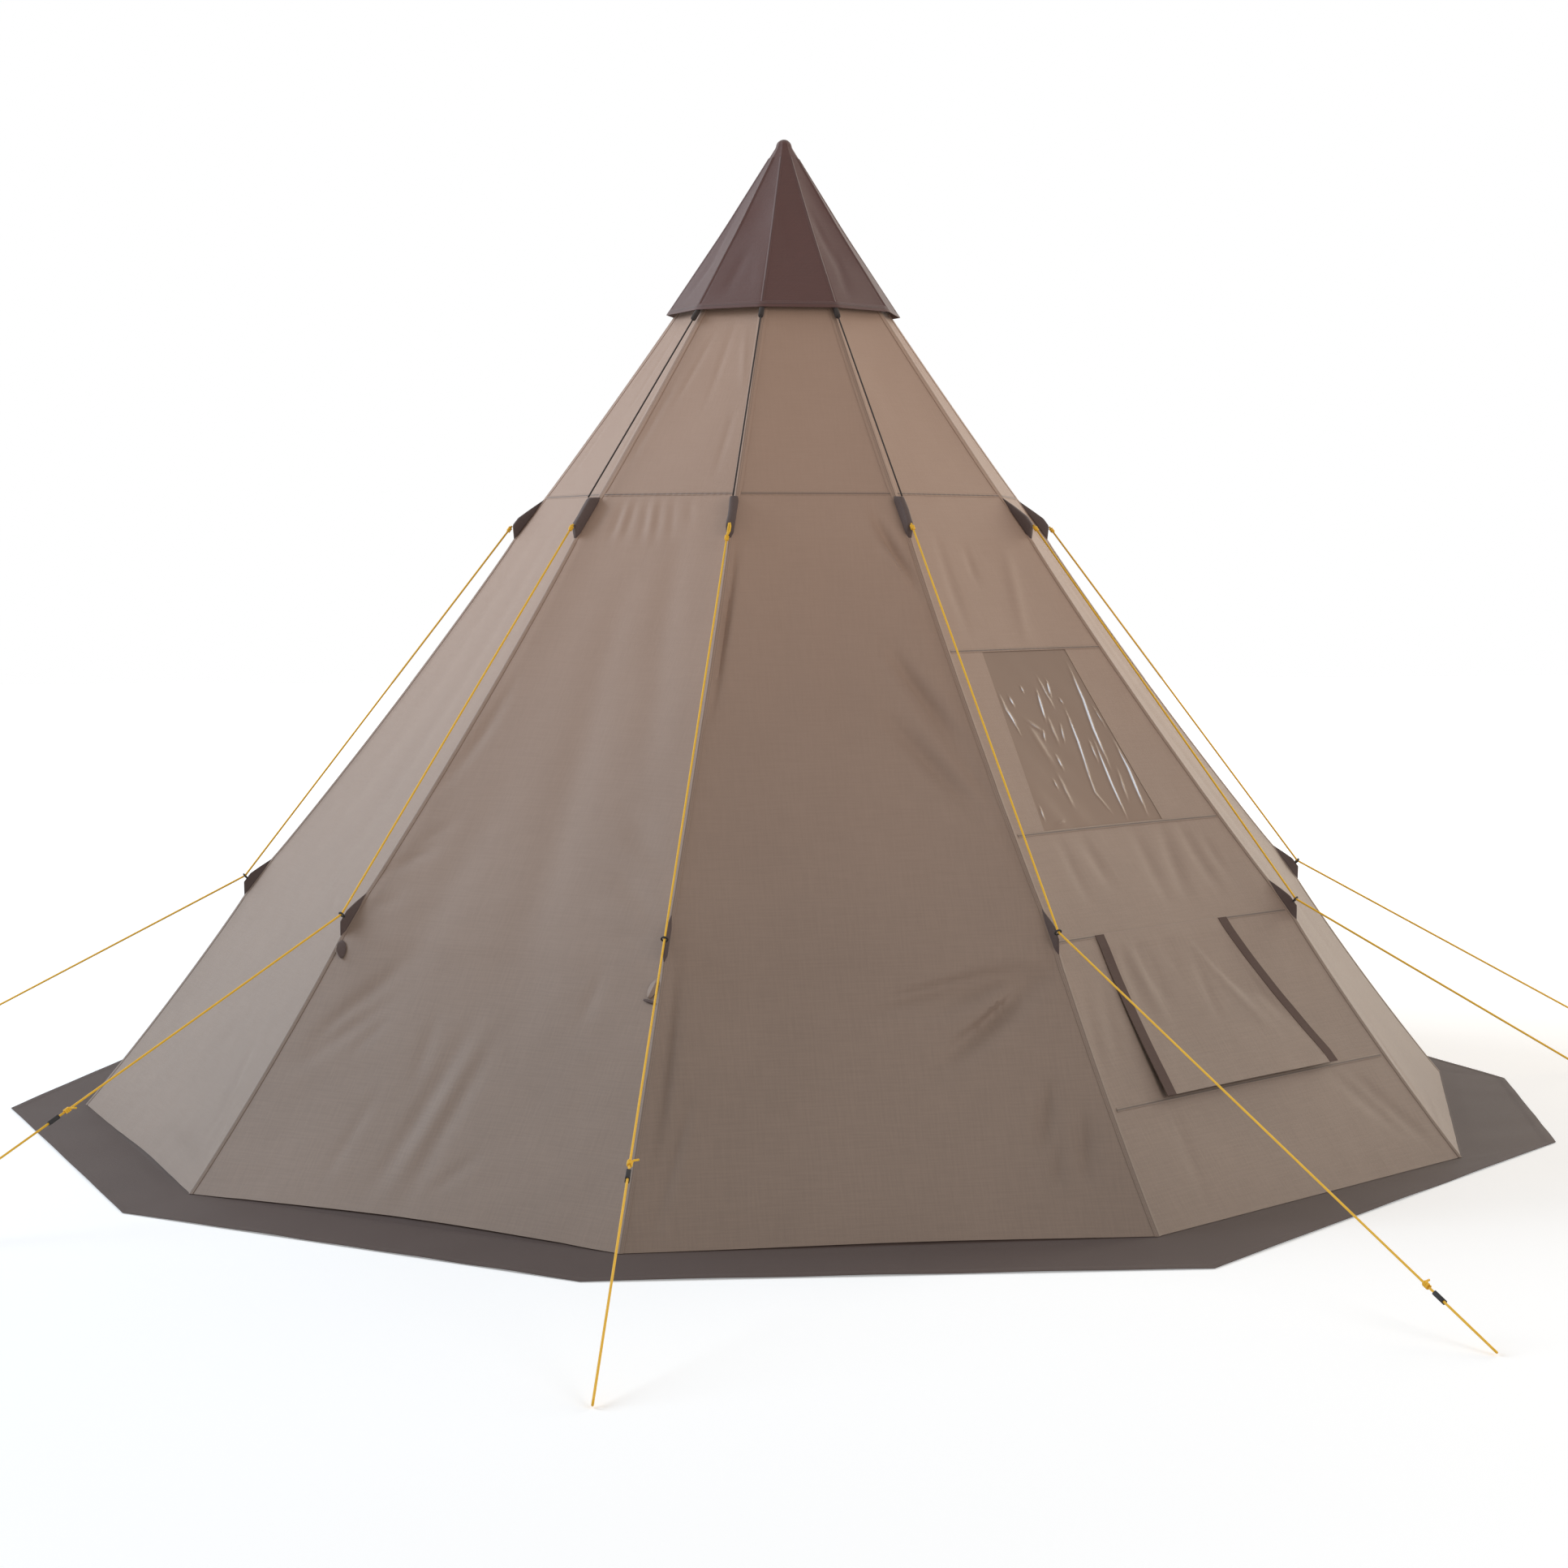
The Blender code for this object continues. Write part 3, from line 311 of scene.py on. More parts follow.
def tube(name, path, radius, sides=8, radii=None, closed=False):
    """Mesh tube along a path with closed ends; its map is turns round by metres along."""
    path = [Vector(point) for point in path]
    count = len(path)
    side = None
    rings, walked = [], [0.0]
    for i, point in enumerate(path):
        if closed:
            way = (path[(i + 1) % count] - path[i - 1]).normalized()
        else:
            way = (path[min(i + 1, count - 1)] - path[max(i - 1, 0)]).normalized()
        side = side or way.orthogonal().normalized()
        side = (side - way * side.dot(way)).normalized()
        other = way.cross(side)
        size = radius * (radii[i] if radii else 1.0)
        rings.append([point + side * (size * math.cos(a)) + other * (size * math.sin(a))
                      for a in (2 * math.pi * k / sides for k in range(sides))])
        walked.append(walked[-1] + (path[(i + 1) % count] - point).length)
    return loft(name, rings, lambda i, k: (k / sides, walked[i]), closed)


def settle(piece, finish, slot, *nodes, body="tent"):
    """Gives a piece its finish and the body it rides on, and hides the CAD nodes that it stands for."""
    piece.data.materials.clear()
    piece.data.materials.append(finish)
    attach(piece, body)
    if nodes:
        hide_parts(*nodes)
    return piece


def wound(name, start, way, pitch, radius, cord_radius):
    """Cord wound three times round a straight line, as in a knot's wraps."""
    side = way.orthogonal().normalized()
    other = way.cross(side)
    turns, steps = 3, 36
    path = []
    for i in range(steps + 1):
        angle = 2 * math.pi * turns * i / steps
        reach = radius * (0.55 if i in (0, steps) else 1.0)
        path.append(start + way * (pitch * angle / (2 * math.pi))
                    + (side * math.cos(angle) + other * math.sin(angle)) * reach)
    return tube(name, path, cord_radius)


THIN_CORD = CORD_DIAMETER / 2 - 0.0002
orange_cord = cord_finish("orange plaited cord", CORD_COLOUR,
                          shade=0.92, strands=8.0, pitch=0.012, roughness=0.62)
for index in range(SIDES):
    number = index + 1
    turn = ridge_turn(number)
    path = line_path(index)
    tied, corner, down, level, _, _ = line_axes(index)
    first = (turn @ (corner - tied)).normalized()
    tie_at = turn @ tied + first * (0.050 if number == 3 else 0.010)
    end = path[-1]
    back = (path[-1] - path[-2]).normalized()
    tail_way = (turn.to_3x3() @ (level - down * 0.6)).normalized()
    tail = [end - back * 0.002, end + tail_way * 0.010 + back * 0.004, end + tail_way * 0.024]
    line = tube(f"guy_cord_{number:02d}", path, CORD_DIAMETER / 2, sides=10)
    settle(line, orange_cord, "guy_cord", f"guy_line_{number:02d}")
    on_line = [
        wound(f"guy_tie_{number:02d}", tie_at, first, pitch=0.0052, radius=0.0045, cord_radius=0.0026),
        wound(f"guy_knot_{number:02d}", end - back * 0.012, back,
              pitch=0.0056, radius=0.0048, cord_radius=0.0029),
        tube(f"guy_tail_{number:02d}", tail, THIN_CORD),
    ]
    if number == 3:
        # this line's tie sits lower, with a loop up to the flap
        across = Vector((0.0, 0.0, 1.0)).cross(first).normalized() * 0.0058
        start = turn @ tied + first * 0.004
        on_line.append(tube("guy_loop_03", [
            tie_at, tie_at.lerp(start, 0.4) + across, tie_at.lerp(start, 0.8) + across,
            start + across * 0.5 - first * 0.002], THIN_CORD))
    for piece in on_line:
        settle(piece, orange_cord, "guy_cord")


# Elastic harness of the rain cap: a dark 5 mm cord round inside the cap's hem and one down each of
# six ridges to the top of its upper flap, joined by thicker sleeves that show below the hem.
CORD_RIDGES = (2, 3, 4, 8, 9, 10)
ELASTIC_RADIUS = 0.0025
CAP_HEM_RADIUS, CAP_HEM_HEIGHT = 0.378, 2.514
CAP_THICKNESS = 0.002
APEX_HEIGHT = 3.075
TIP_RADIUS = 0.026
SHOULDER_HEIGHT = APEX_HEIGHT - TIP_RADIUS
CAP_TENSION_DEPTH = 0.006
RING_RISE = 0.020
SLEEVE_RADIUS = 0.005
# distances down from the ring at which a sleeve's size is given, as shares of its radius
SLEEVE_STATIONS = (-0.004, 0.0, 0.010, 0.024, 0.034, 0.058, 0.064, 0.067)
SLEEVE_SIZES = (0.7, 1.0, 0.92, 1.1, 1.7, 1.75, 1.6, 0.8)


def rounded_tip(radius, end=math.pi / 2):
    """Quarter circle from the shoulder up to the apex, as (radius, height)."""
    return [(radius * math.cos(a), SHOULDER_HEIGHT + radius * math.sin(a)) for a in np.linspace(0.0, end, 7)]


def cap_outline(inset):
    """Rain cap's face at its ridges from hem to top, as (radius, height), inset from its outside."""
    slope = (CAP_HEM_RADIUS - TIP_RADIUS) / (SHOULDER_HEIGHT - CAP_HEM_HEIGHT)
    level = inset * math.hypot(1.0, slope * math.cos(HALF_GORE)) / math.cos(HALF_GORE)
    middle = ((CAP_HEM_RADIUS + TIP_RADIUS) / 2 - CAP_TENSION_DEPTH - level,
              (CAP_HEM_HEIGHT + SHOULDER_HEIGHT) / 2)
    return [(CAP_HEM_RADIUS - level, CAP_HEM_HEIGHT), middle] + rounded_tip(TIP_RADIUS - inset)


hem, middle = cap_outline(CAP_THICKNESS + GAP + SLEEVE_RADIUS + ELASTIC_RADIUS)[:2]
ring_height = CAP_HEM_HEIGHT + RING_RISE
ring_radius = hem[0] + (middle[0] - hem[0]) * (ring_height - hem[1]) / (middle[1] - hem[1])
dark_cord = cord_finish("dark elastic cord", (0.046, 0.033, 0.028),
                        shade=0.55, strands=10.0, pitch=0.008, roughness=0.90)
corners = [ridge_turn(number) @ Vector((ring_radius, 0.0, ring_height)) for number in range(1, SIDES + 2)]
ring_path = [corner.lerp(following, share) for corner, following in zip(corners, corners[1:])
             for share in (0.0, 0.25, 0.5, 0.75)]
ring = tube("cap_cord_ring", ring_path, ELASTIC_RADIUS, closed=True)
settle(ring, dark_cord, "elastic_cord", "cap_cords")
for number in CORD_RIDGES:
    head = corners[number - 1]
    stand = CORDED_FLAP["stand"] + GAP + ELASTIC_RADIUS
    foot = ridge_turn(number) @ flap_spot(CORDED_FLAP, CORDED_FLAP["tip"], stand)
    way = (foot - head).normalized()
    cord = tube(f"cap_cord_{number:02d}", [head.lerp(foot, share) for share in np.linspace(0, 1, 9)],
                ELASTIC_RADIUS)
    sleeve = tube(f"cap_sleeve_{number:02d}", [head + way * down for down in SLEEVE_STATIONS],
                  SLEEVE_RADIUS, sides=10, radii=SLEEVE_SIZES)
    for piece in (cord, sleeve):
        settle(piece, dark_cord, "elastic_cord", "cap_cords")


# Canopy: ten gores of polyester-cotton canvas. Each is one sheet from the hem to the wall's top,
# drawn in between the points that hold its ridges, a little slack in its middle, with the tension
# folds that the photograph shows. Gore 4 has openings for the window and the vent, gore 8 the door.
HEM_HEIGHT = 0.0033
CLOTH = 0.0013
# metres along the cloth for each metre of height, in the middle of a gore
MIDDLE_RUN = 1.23
SAG_DEPTH = 0.012
CREASE_DEPTH, CREASE_WIDTH = 0.006, 0.16
WINDOW_BOTTOM, WINDOW_TOP = 0.968, 1.470
WINDOW_LEFT, WINDOW_RIGHT = (-0.706, -0.560), (0.455, 0.526)
VENT_BOTTOM, VENT_TOP = 0.330, 0.670
VENT_LEFT, VENT_RIGHT = (-0.590, -0.606), (0.555, 0.400)
VENT_SEAMS = (0.287, 0.697)
DOOR_SILL, DOOR_TOP, DOOR_SHARE = 0.150, 1.640, 0.72
CANVAS_COLOUR = (0.245, 0.176, 0.135)
# The door gore's own area is 1.219 square metres, 0.267 of its flat size, but its area below is worked out
# from this share instead. That is 1.377 square metres and isn't the cloth's area.
DOOR_GORE_AREA_SHARE = 0.301
# where a hem stands off the skirt: share across, width as a share, height
HEM_GAPS = {
    1: (0.20, 0.50, 0.006), 2: (0.05, 0.75, 0.0135), 3: (0.10, 0.60, 0.005),
    6: (-0.20, 0.40, 0.010), 9: (0.30, 0.45, 0.012),
}
# broad creases: share across at foot and head, height share of foot and head
CREASES = (
    ((-0.60, -0.30, 0.45, 1.00), (0.10, 0.00, 0.50, 1.00), (0.66, 0.40, 0.10, 0.70)),
    ((-0.40, -0.55, 0.40, 1.00), (0.20, 0.05, 0.30, 1.00), (0.70, 0.55, 0.50, 1.00)),
    ((0.80, 0.30, 0.40, 1.00), (0.30, -0.15, 0.15, 0.90), (-0.62, -0.45, 0.10, 0.60)),
)
# tension folds: width and depth in millimetres, then the line as (share across, height), both in
# hundredths
UNDER_SEAM = (
    (15, 3, (-80, 191), (-83, 182)), (16, 4, (-60, 191), (-54, 179)), (15, -3, (-53, 192), (-45, 179)),
    (15, 4, (-45, 192), (-35, 179)), (15, 4, (-27, 192), (-12, 178)), (15, -2.5, (-18, 192), (-3, 180)),
    (15, 4, (-9, 192), (6, 178)), (15, 3.5, (10, 192), (25, 179)), (14, 2.5, (35, 191), (45, 184)),
)
BESIDE_RIDGE = (
    (22, 4, (-82, 139), (-90, 114)), (24, 4, (-79, 131), (-94, 105)), (26, 5, (-67, 100), (-93, 85)),
    (18, -3, (-70, 96), (-93, 87)), (22, 5, (-68, 92), (-100, 83)), (22, 4, (-74, 78), (-96, 74)),
    (32, 7, (-53, 62), (-88, 36)), (26, 5, (-49, 53), (-87, 32)), (20, -3, (-66, 50), (-79, 41)),
    (20, 3, (-48, 48), (-61, 37)),
)
FOOT_FOLDS = (
    (28, 5, (-1, 48), (-11, 22), (-18, 4)), (24, -3, (8, 46), (-3, 20), (-9, 4)),
    (28, 4.5, (15, 45), (4, 19), (0, 3)), (22, 3, (-23, 49), (-19, 31)), (22, 3, (28, 18), (9, 6)),
    (20, 2.5, (-36, 30), (-42, 5)),
)
FAR_RIDGE = (
    (26, 3, (40, 105), (82, 98)), (26, 3, (53, 99), (92, 90)), (24, 3, (56, 87), (89, 79)),
    (24, -2.5, (50, 79), (88, 75)), (22, 2.5, (65, 73), (92, 71)), (22, 2.5, (65, 63), (59, 49)),
)
FRONT_FOLDS = (
    (18, 4, (-94, 178), (-96, 128)), (24, 4, (-95, 68), (-93, 12)), (22, 3, (-81, 37), (-90, 3)),
    (20, 5, (66, 188), (91, 164)), (16, -3, (65, 178), (89, 165)), (28, 6, (49, 149), (90, 119)),
    (24, -3, (42, 142), (91, 109)), (32, 6, (33, 131), (92, 98)), (24, 4, (56, 136), (99, 103)),
    (36, 7, (95, 63), (29, 39)), (30, 5, (92, 64), (-8, 53)), (22, -3, (77, 60), (43, 47)),
    (24, 4, (86, 62), (22, 51)), (26, 4, (78, 37), (65, 18)), (26, 4, (88, 29), (80, 12)),
    (18, 3, (74, 22), (67, 11)),
)
CORNER_FOLDS = (
    (24, 5, (24, 8), (84, 3)), (22, 4, (50, 9), (96, 4)), (32, 7, (73, 24), (96, 6)),
    (26, 5, (60, 34), (80, 10)), (24, 3, (30, 80), (78, 62)),
)
WINDOW_FOLDS = (
    (22, 3, (-56, 183), (-65, 149)), (18, 3, (-16, 178), (-22, 166)), (26, -4, (51, 178), (7, 148)),
    (22, 3, (-60, 96), (-59, 77)), (26, 4, (-39, 95), (-34, 80)), (28, 4, (14, 97), (6, 74)),
    (28, 5, (43, 97), (23, 75)), (24, 4, (58, 97), (54, 76)), (18, 3, (72, 92), (70, 80)),
    (18, 3, (-90, 58), (-97, 34)), (20, 3, (-73, 61), (-85, 35)), (22, 3, (-61, 28), (-66, 3)),
    (26, 4, (55, 27), (76, 8)), (26, 4, (65, 29), (90, 3)),
)
ABOVE_SEAM = (
    (12, 2, (-30, 245), (-55, 220)), (12, -2, (55, 245), (80, 225)), (14, 2, (20, 248), (10, 220)),
    (14, 2.5, (-75, 230), (-85, 200)), (14, 2, (72, 220), (62, 198)),
)


def mirrored(folds):
    """The same folds from the gore's other ridge."""
    return tuple((width, depth, *((-share, height) for share, height in line))
                 for width, depth, *line in folds)


def deeper(folds, factor):
    """The same folds with their depth times a factor."""
    return tuple((width, depth * factor, *line) for width, depth, *line in folds)


# folds of each gore, those of gore 3 the deepest
FOLDS = {
    1: CORNER_FOLDS + mirrored(ABOVE_SEAM),
    2: deeper(UNDER_SEAM + BESIDE_RIDGE, 0.85) + FOOT_FOLDS + FAR_RIDGE + ABOVE_SEAM,
    3: deeper(FRONT_FOLDS, 4.6),
    4: WINDOW_FOLDS,
    5: mirrored(CORNER_FOLDS) + mirrored(UNDER_SEAM[:4]) + ABOVE_SEAM,
    6: mirrored(BESIDE_RIDGE) + FOOT_FOLDS + UNDER_SEAM + ABOVE_SEAM,
    7: mirrored(FRONT_FOLDS) + mirrored(UNDER_SEAM),
    8: BESIDE_RIDGE[:3] + mirrored(BESIDE_RIDGE[:3]) + UNDER_SEAM,
    9: FRONT_FOLDS + UNDER_SEAM + mirrored(ABOVE_SEAM),
    10: mirrored(FAR_RIDGE) + mirrored(FOOT_FOLDS) + mirrored(BESIDE_RIDGE) + mirrored(UNDER_SEAM),
}


def half_width(height):
    """Half of a gore's width at a height."""
    return ridge_radius(height) * math.sin(HALF_GORE)


def slope_length(height):
    """Length along the middle of a gore from the ground up to a height."""
    lower = math.hypot(1.0, LOWER_SLOPE * math.cos(HALF_GORE))
    upper = math.hypot(1.0, UPPER_SLOPE * math.cos(HALF_GORE))
    return np.minimum(height, SEAM_HEIGHT) * lower + np.maximum(height - SEAM_HEIGHT, 0.0) * upper


def fold_depth(across, along, folds):
    """Depth of folds at places on the flat cloth; each fold is (width, depth, its line's places)."""
    total = np.zeros(np.shape(across))
    for width, depth, line in folds:
        line = np.array(line, dtype=float)
        steps = line[1:] - line[:-1]
        lengths = np.hypot(steps[:, 0], steps[:, 1])
        nearest, where, walked = np.full(total.shape, 9.0), np.zeros(total.shape), 0.0
        for start, step, length in zip(line, steps, lengths):
            off_across, off_along = across - start[0], along - start[1]
            part = np.clip((off_across * step[0] + off_along * step[1]) / length ** 2, 0.0, 1.0)
            off = np.hypot(off_across - part * step[0], off_along - part * step[1])
            where = np.where(off < nearest, (walked + part * length) / lengths.sum(), where)
            nearest, walked = np.minimum(nearest, off), walked + length
        strength = np.sin(math.pi * np.clip(where, 0.03, 0.97)) ** 0.8
        total += depth * np.exp(-(nearest / width) ** 2) * strength
    return total


def drift(seed, across, along, size, waves=5):
    """Slow random waves over the cloth, from -1 to 1, with the given size in metres."""
    draw = random.Random(seed)
    total = np.zeros(np.shape(across))
    for _ in range(waves):
        angle, phase = draw.uniform(0, math.pi), draw.uniform(0, 2 * math.pi)
        turn = 2 * math.pi / (size * draw.uniform(0.7, 1.4))
        total += np.sin((across * math.cos(angle) + along * math.sin(angle)) * turn + phase)
    return total / waves


def ridge_pull(height):
    """How far a ridge is drawn in between its flaps, the seam and the ground."""
    total = np.zeros(np.shape(height))
    for low, high, depth in ((0.0, 0.665, 0.011), (0.788, 1.795, 0.014), (1.940, WALL_TOP_HEIGHT, 0.005)):
        share = np.clip((height - low) / (high - low), 0.0, 1.0)
        total += depth * np.sin(math.pi * share) ** 0.7
    return total


def metres(folds, place):
    """Folds in metres; place gives the spot on the flat cloth for each (across, up) of their lines."""
    return [(width / 1000, depth / 1000, [place(across / 100, up / 100) for across, up in line])
            for width, depth, *line in folds]


def gore_place(share, height):
    """Place on the cut cloth, in metres, of a share across a gore and a height."""
    return share * float(half_width(height)), float(slope_length(height))


def between(pair, share):
    """Value at a share of the way from the pair's first to its second."""
    return pair[0] + (pair[1] - pair[0]) * share


def cloth_depth(number, share, height):
    """How far a gore's cloth lies in from its flat face."""
    across, along = share * half_width(height), slope_length(height)
    inside = 1.0 - share * share
    low_part = height <= SEAM_HEIGHT
    up = np.where(low_part, (height - HEM_HEIGHT) / (SEAM_HEIGHT - HEM_HEIGHT),
                  (height - SEAM_HEIGHT) / (WALL_TOP_HEIGHT - SEAM_HEIGHT))
    up = np.clip(up, 0.0, 1.0)
    depth = SAG_DEPTH * inside * np.sin(math.pi * up) * np.where(low_part, 1.0, 0.39)
    if number not in (4, 8):
        for foot, head, low, high in CREASES[min(number, 11 - number) % 3]:
            along_crease = np.clip((up - low) / (high - low), 0.0, 1.0)
            off = (share - foot - (head - foot) * along_crease) / CREASE_WIDTH
            swell = np.sin(math.pi * along_crease) * inside * low_part
            depth += CREASE_DEPTH * np.exp(-off * off) * swell
    fade = np.clip((1.0 - np.abs(share)) * half_width(height) / 0.02, 0.0, 1.0)
    depth += fold_depth(across, along, metres(FOLDS[number], gore_place)) * fade
    depth += 0.0022 * drift(number, across, along, 0.55) * inside * np.sin(math.pi * up) ** 0.5
    depth += 0.0006 * drift(number + 50, across, along, 0.12) * fade
    return depth + ridge_pull(height)


def facing(number, out, aside, height):
    """World points of a gore's own: out from the pole through its middle, aside from that, up."""
    angle = math.pi + (number - 0.5) * 2 * HALF_GORE
    return np.stack([out * math.cos(angle) - aside * math.sin(angle),
                     out * math.sin(angle) + aside * math.cos(angle), height], axis=-1)


def cloth_points(number, share, height, lift=0.0):
    """Points on a gore in world axes, lifted off its outer face."""
    share, height = np.broadcast_arrays(np.asarray(share, float), np.asarray(height, float))
    depth = cloth_depth(number, share, height) - lift
    z = height.copy()
    if number in HEM_GAPS:
        middle, width, rise = HEM_GAPS[number]
        gap = np.exp(-((share - middle) / width) ** 2) * np.clip(1.0 - np.abs(share), 0.0, 0.25) / 0.25
        z = z + rise * gap * np.clip(1.0 - height / 0.30, 0.0, 1.0) ** 2
    slopes = np.interp(z, (SEAM_HEIGHT - 0.01, SEAM_HEIGHT + 0.01), (LOWER_SLOPE, UPPER_SLOPE))
    run = np.hypot(1.0, slopes * math.cos(HALF_GORE))
    out = ridge_radius(z) * math.cos(HALF_GORE) - depth * run
    return facing(number, out, share * (out * math.tan(HALF_GORE) - GAP / 2), z)


def cloth_sheet(name, points, places, missing=None, thickness=CLOTH, joined=False, crest=None):
    """Closed thin sheet through a grid of points; places are where they lie on the cut cloth.

    Returns the piece and its flat area. Missing marks the grid's cells that are cut away, a joined
    sheet meets itself at its first and last column, and crest is a value to keep at each point."""
    rows, columns = points.shape[:2]
    index = np.arange(rows * columns).reshape(rows, columns)
    quads = np.stack([index[:-1, :-1], index[:-1, 1:], index[1:, 1:], index[1:, :-1]], axis=-1)
    quads = quads.reshape(-1, 4)
    if missing is not None:
        quads = quads[~missing.reshape(-1)]
    data = bpy.data.meshes.new(name)
    data.from_pydata(points.reshape(-1, 3).tolist(), [], quads.tolist())
    flat = places.reshape(-1, 2)
    layer = data.uv_layers.new(name="UVMap")
    layer.data.foreach_set("uv", flat[quads.reshape(-1)].reshape(-1))
    data.polygons.foreach_set("use_smooth", [True] * len(quads))
    if crest is not None:
        data.attributes.new("Crest", "FLOAT", "POINT").data.foreach_set("value", crest.reshape(-1))
    first, second = flat[quads][:, 2] - flat[quads][:, 0], flat[quads][:, 3] - flat[quads][:, 1]
    area = float(np.abs(first[:, 0] * second[:, 1] - first[:, 1] * second[:, 0]).sum() / 2)
    if joined or missing is not None:
        work = bmesh.new()
        work.from_mesh(data)
        if joined:
            bmesh.ops.remove_doubles(work, verts=work.verts, dist=0.00001)
        bmesh.ops.delete(work, geom=[v for v in work.verts if not v.link_faces], context="VERTS")
        work.to_mesh(data)
        work.free()
    piece = add_piece(name, data)
    bpy.ops.object.select_all(action="DESELECT")
    piece.select_set(True)
    bpy.context.view_layer.objects.active = piece
    wall = piece.modifiers.new("cloth", "SOLIDIFY")
    wall.thickness, wall.offset, wall.use_even_offset = thickness, -1.0, False
    bpy.ops.object.modifier_apply(modifier="cloth")
    bpy.ops.object.shade_smooth_by_angle(angle=math.radians(50))
    return piece, area


def grid_between(levels, cells, pitch):
    """Rows of shares and heights through levels (height, left share, right share).

    Cells gives the columns left of, between and right of the two shares."""
    shares, heights = [], []
    for i, (low, high) in enumerate(zip(levels, levels[1:])):
        steps = max(1, round(float(slope_length(high[0]) - slope_length(low[0])) / pitch))
        last = i == len(levels) - 2
        for k in range(steps + last):
            height, left, right = (between(pair, k / steps) for pair in zip(low, high))
            shares.append(np.concatenate([
                np.linspace(-1.0, left, cells[0] + 1), np.linspace(left, right, cells[1] + 1)[1:],
                np.linspace(right, 1.0, cells[2] + 1)[1:]]))
            heights.append(np.full(len(shares[-1]), height))
    return np.array(shares), np.array(heights)


def cut_cells(heights, cells, openings):
    """Marks the middle columns' cells between the heights of each opening; None without openings."""
    marks = np.zeros((heights.shape[0] - 1, heights.shape[1] - 1), bool)
    middles = (heights[:-1, 0] + heights[1:, 0]) / 2
    for low, high in openings:
        marks[(middles > low) & (middles < high), cells[0]:cells[0] + cells[1]] = True
    return marks if openings else None


def on_flat(shares, heights):
    """Places on the cut cloth, in metres, of shares and heights."""
    return np.stack([shares * half_width(heights), slope_length(heights)], axis=-1)


# canvas weave: warp and weft threads with slubs; the vector is the cut cloth in metres
weave, given, result = new_effect("canvas weave", {"Vector": None, "Thread": 0.0009}, ("Height", "Tone"))
threads = [ribs(weave, calc(weave, "DIVIDE", split(weave, given["Vector"])[axis], given["Thread"]), 1.0)
           for axis in ("X", "Y")]
slubs = []
for scale in ((160.0, 9.0, 1.0), (9.0, 160.0, 1.0)):
    stretched = add_node(weave, "Mapping", {"Vector": given["Vector"], "Scale": scale}).outputs[0]
    slubs.append(noise(weave, stretched, 1.0, 3.0, Roughness=0.6)["Fac"])
slub = calc(weave, "ADD", *slubs)
fine = calc(weave, "MULTIPLY", calc(weave, "MAXIMUM", *threads), 0.5)
feed(weave, result["Height"], calc(weave, "ADD", fine, slub))
feed(weave, result["Tone"], slub)

# rows of stitches on both sides of a seam: U is the distance from it, V runs along it
stitching, given, result = new_effect(
    "stitch rows", {"Vector": None, "Offset": 0.006, "Thread": 0.0011, "Stitch": 0.0045},
    ("Thread mask", "Pinch"))
across, along, _ = split(stitching, given["Vector"])
off = calc(stitching, "ABSOLUTE", calc(
    stitching, "SUBTRACT", calc(stitching, "ABSOLUTE", across), given["Offset"]))
row = ramp(stitching, off, given["Thread"], calc(stitching, "MULTIPLY", given["Thread"], 0.5))
dash = calc(stitching, "FRACT", calc(stitching, "DIVIDE", along, given["Stitch"]))
dashes = calc(stitching, "MULTIPLY", ramp(stitching, dash, 0.02, 0.14), ramp(stitching, dash, 0.84, 0.72))
feed(stitching, result["Thread mask"], calc(stitching, "MULTIPLY", row, dashes))
feed(stitching, result["Pinch"], ramp(stitching, off, 0.004, 0.0))


def cloth_finish(name, colour, seam=None, roughness=0.62, thread=0.0009, painted_top_light=0.0, sheen=0.22):
    """Woven cloth in its colour; a lighter, warmer colour mixed in higher up is painted light on the upper
    cloth, and seam darkens the line at the middle of a sewn band with its thread and painted shade in the
    groove.
    """
    made, tree, inputs = new_finish(name, roughness, Sheen_Weight=sheen, Sheen_Roughness=0.45)
    uv = add_node(tree, "UVMap").outputs["UV"]
    here = add_node(tree, "TexCoord").outputs["Object"]
    woven = placed(tree, weave, Vector=uv, Thread=thread)
    cloud = ramp(tree, noise(tree, here, 1.7, 3.0, Roughness=0.55)["Fac"], 0.3, 0.7, 0.955, 1.045)
    shade = calc(tree, "MULTIPLY", ramp(tree, woven["Tone"], 0.6, 1.4, 0.93, 1.07), cloud)
    height = woven["Height"]
    grey = add_node(tree, "CombineColor", {0: shade, 1: shade, 2: shade}).outputs[0]
    base = blended(tree, "MULTIPLY", 1.0, colour, grey)
    # painted light: the cloth turns lighter and warmer higher up, towards its lit top
    if painted_top_light:
        top_light_share = ramp(tree, split(tree, here)["Z"], 0.1, 2.5, 0.0, painted_top_light)
        base = blended(tree, "MIX", top_light_share, base, (0.58, 0.345, 0.235))
    if seam is not None:
        rows = placed(tree, stitching, Vector=uv)
        # the seam's thread and painted shade: a dark line down the middle of the band, where its groove is
        groove_thread_and_shade = ramp(tree, calc(tree, "ABSOLUTE", split(tree, uv)["X"]), 0.0030, 0.0012, 0.0, seam)
        base = blended(tree, "MIX", groove_thread_and_shade, base, shaded(colour, 0.30))
        threads = calc(tree, "MULTIPLY", rows["Thread mask"], 0.6)
        base = blended(tree, "MIX", threads, base, shaded(colour, 0.55))
        height = calc(tree, "SUBTRACT", height, calc(tree, "MULTIPLY", rows["Pinch"], 1.5))
    feed(tree, inputs["Base Color"], base)
    with_bump(tree, inputs, height, 0.00025)
    return made


# the canvas finishes get painted light, lighter towards the top, and the seam finish painted shade in its
# groove
canvas = cloth_finish("sand canvas", CANVAS_COLOUR, painted_top_light=0.5)
canvas_seam = cloth_finish("sand canvas seam", CANVAS_COLOUR, seam=0.75, painted_top_light=0.5)
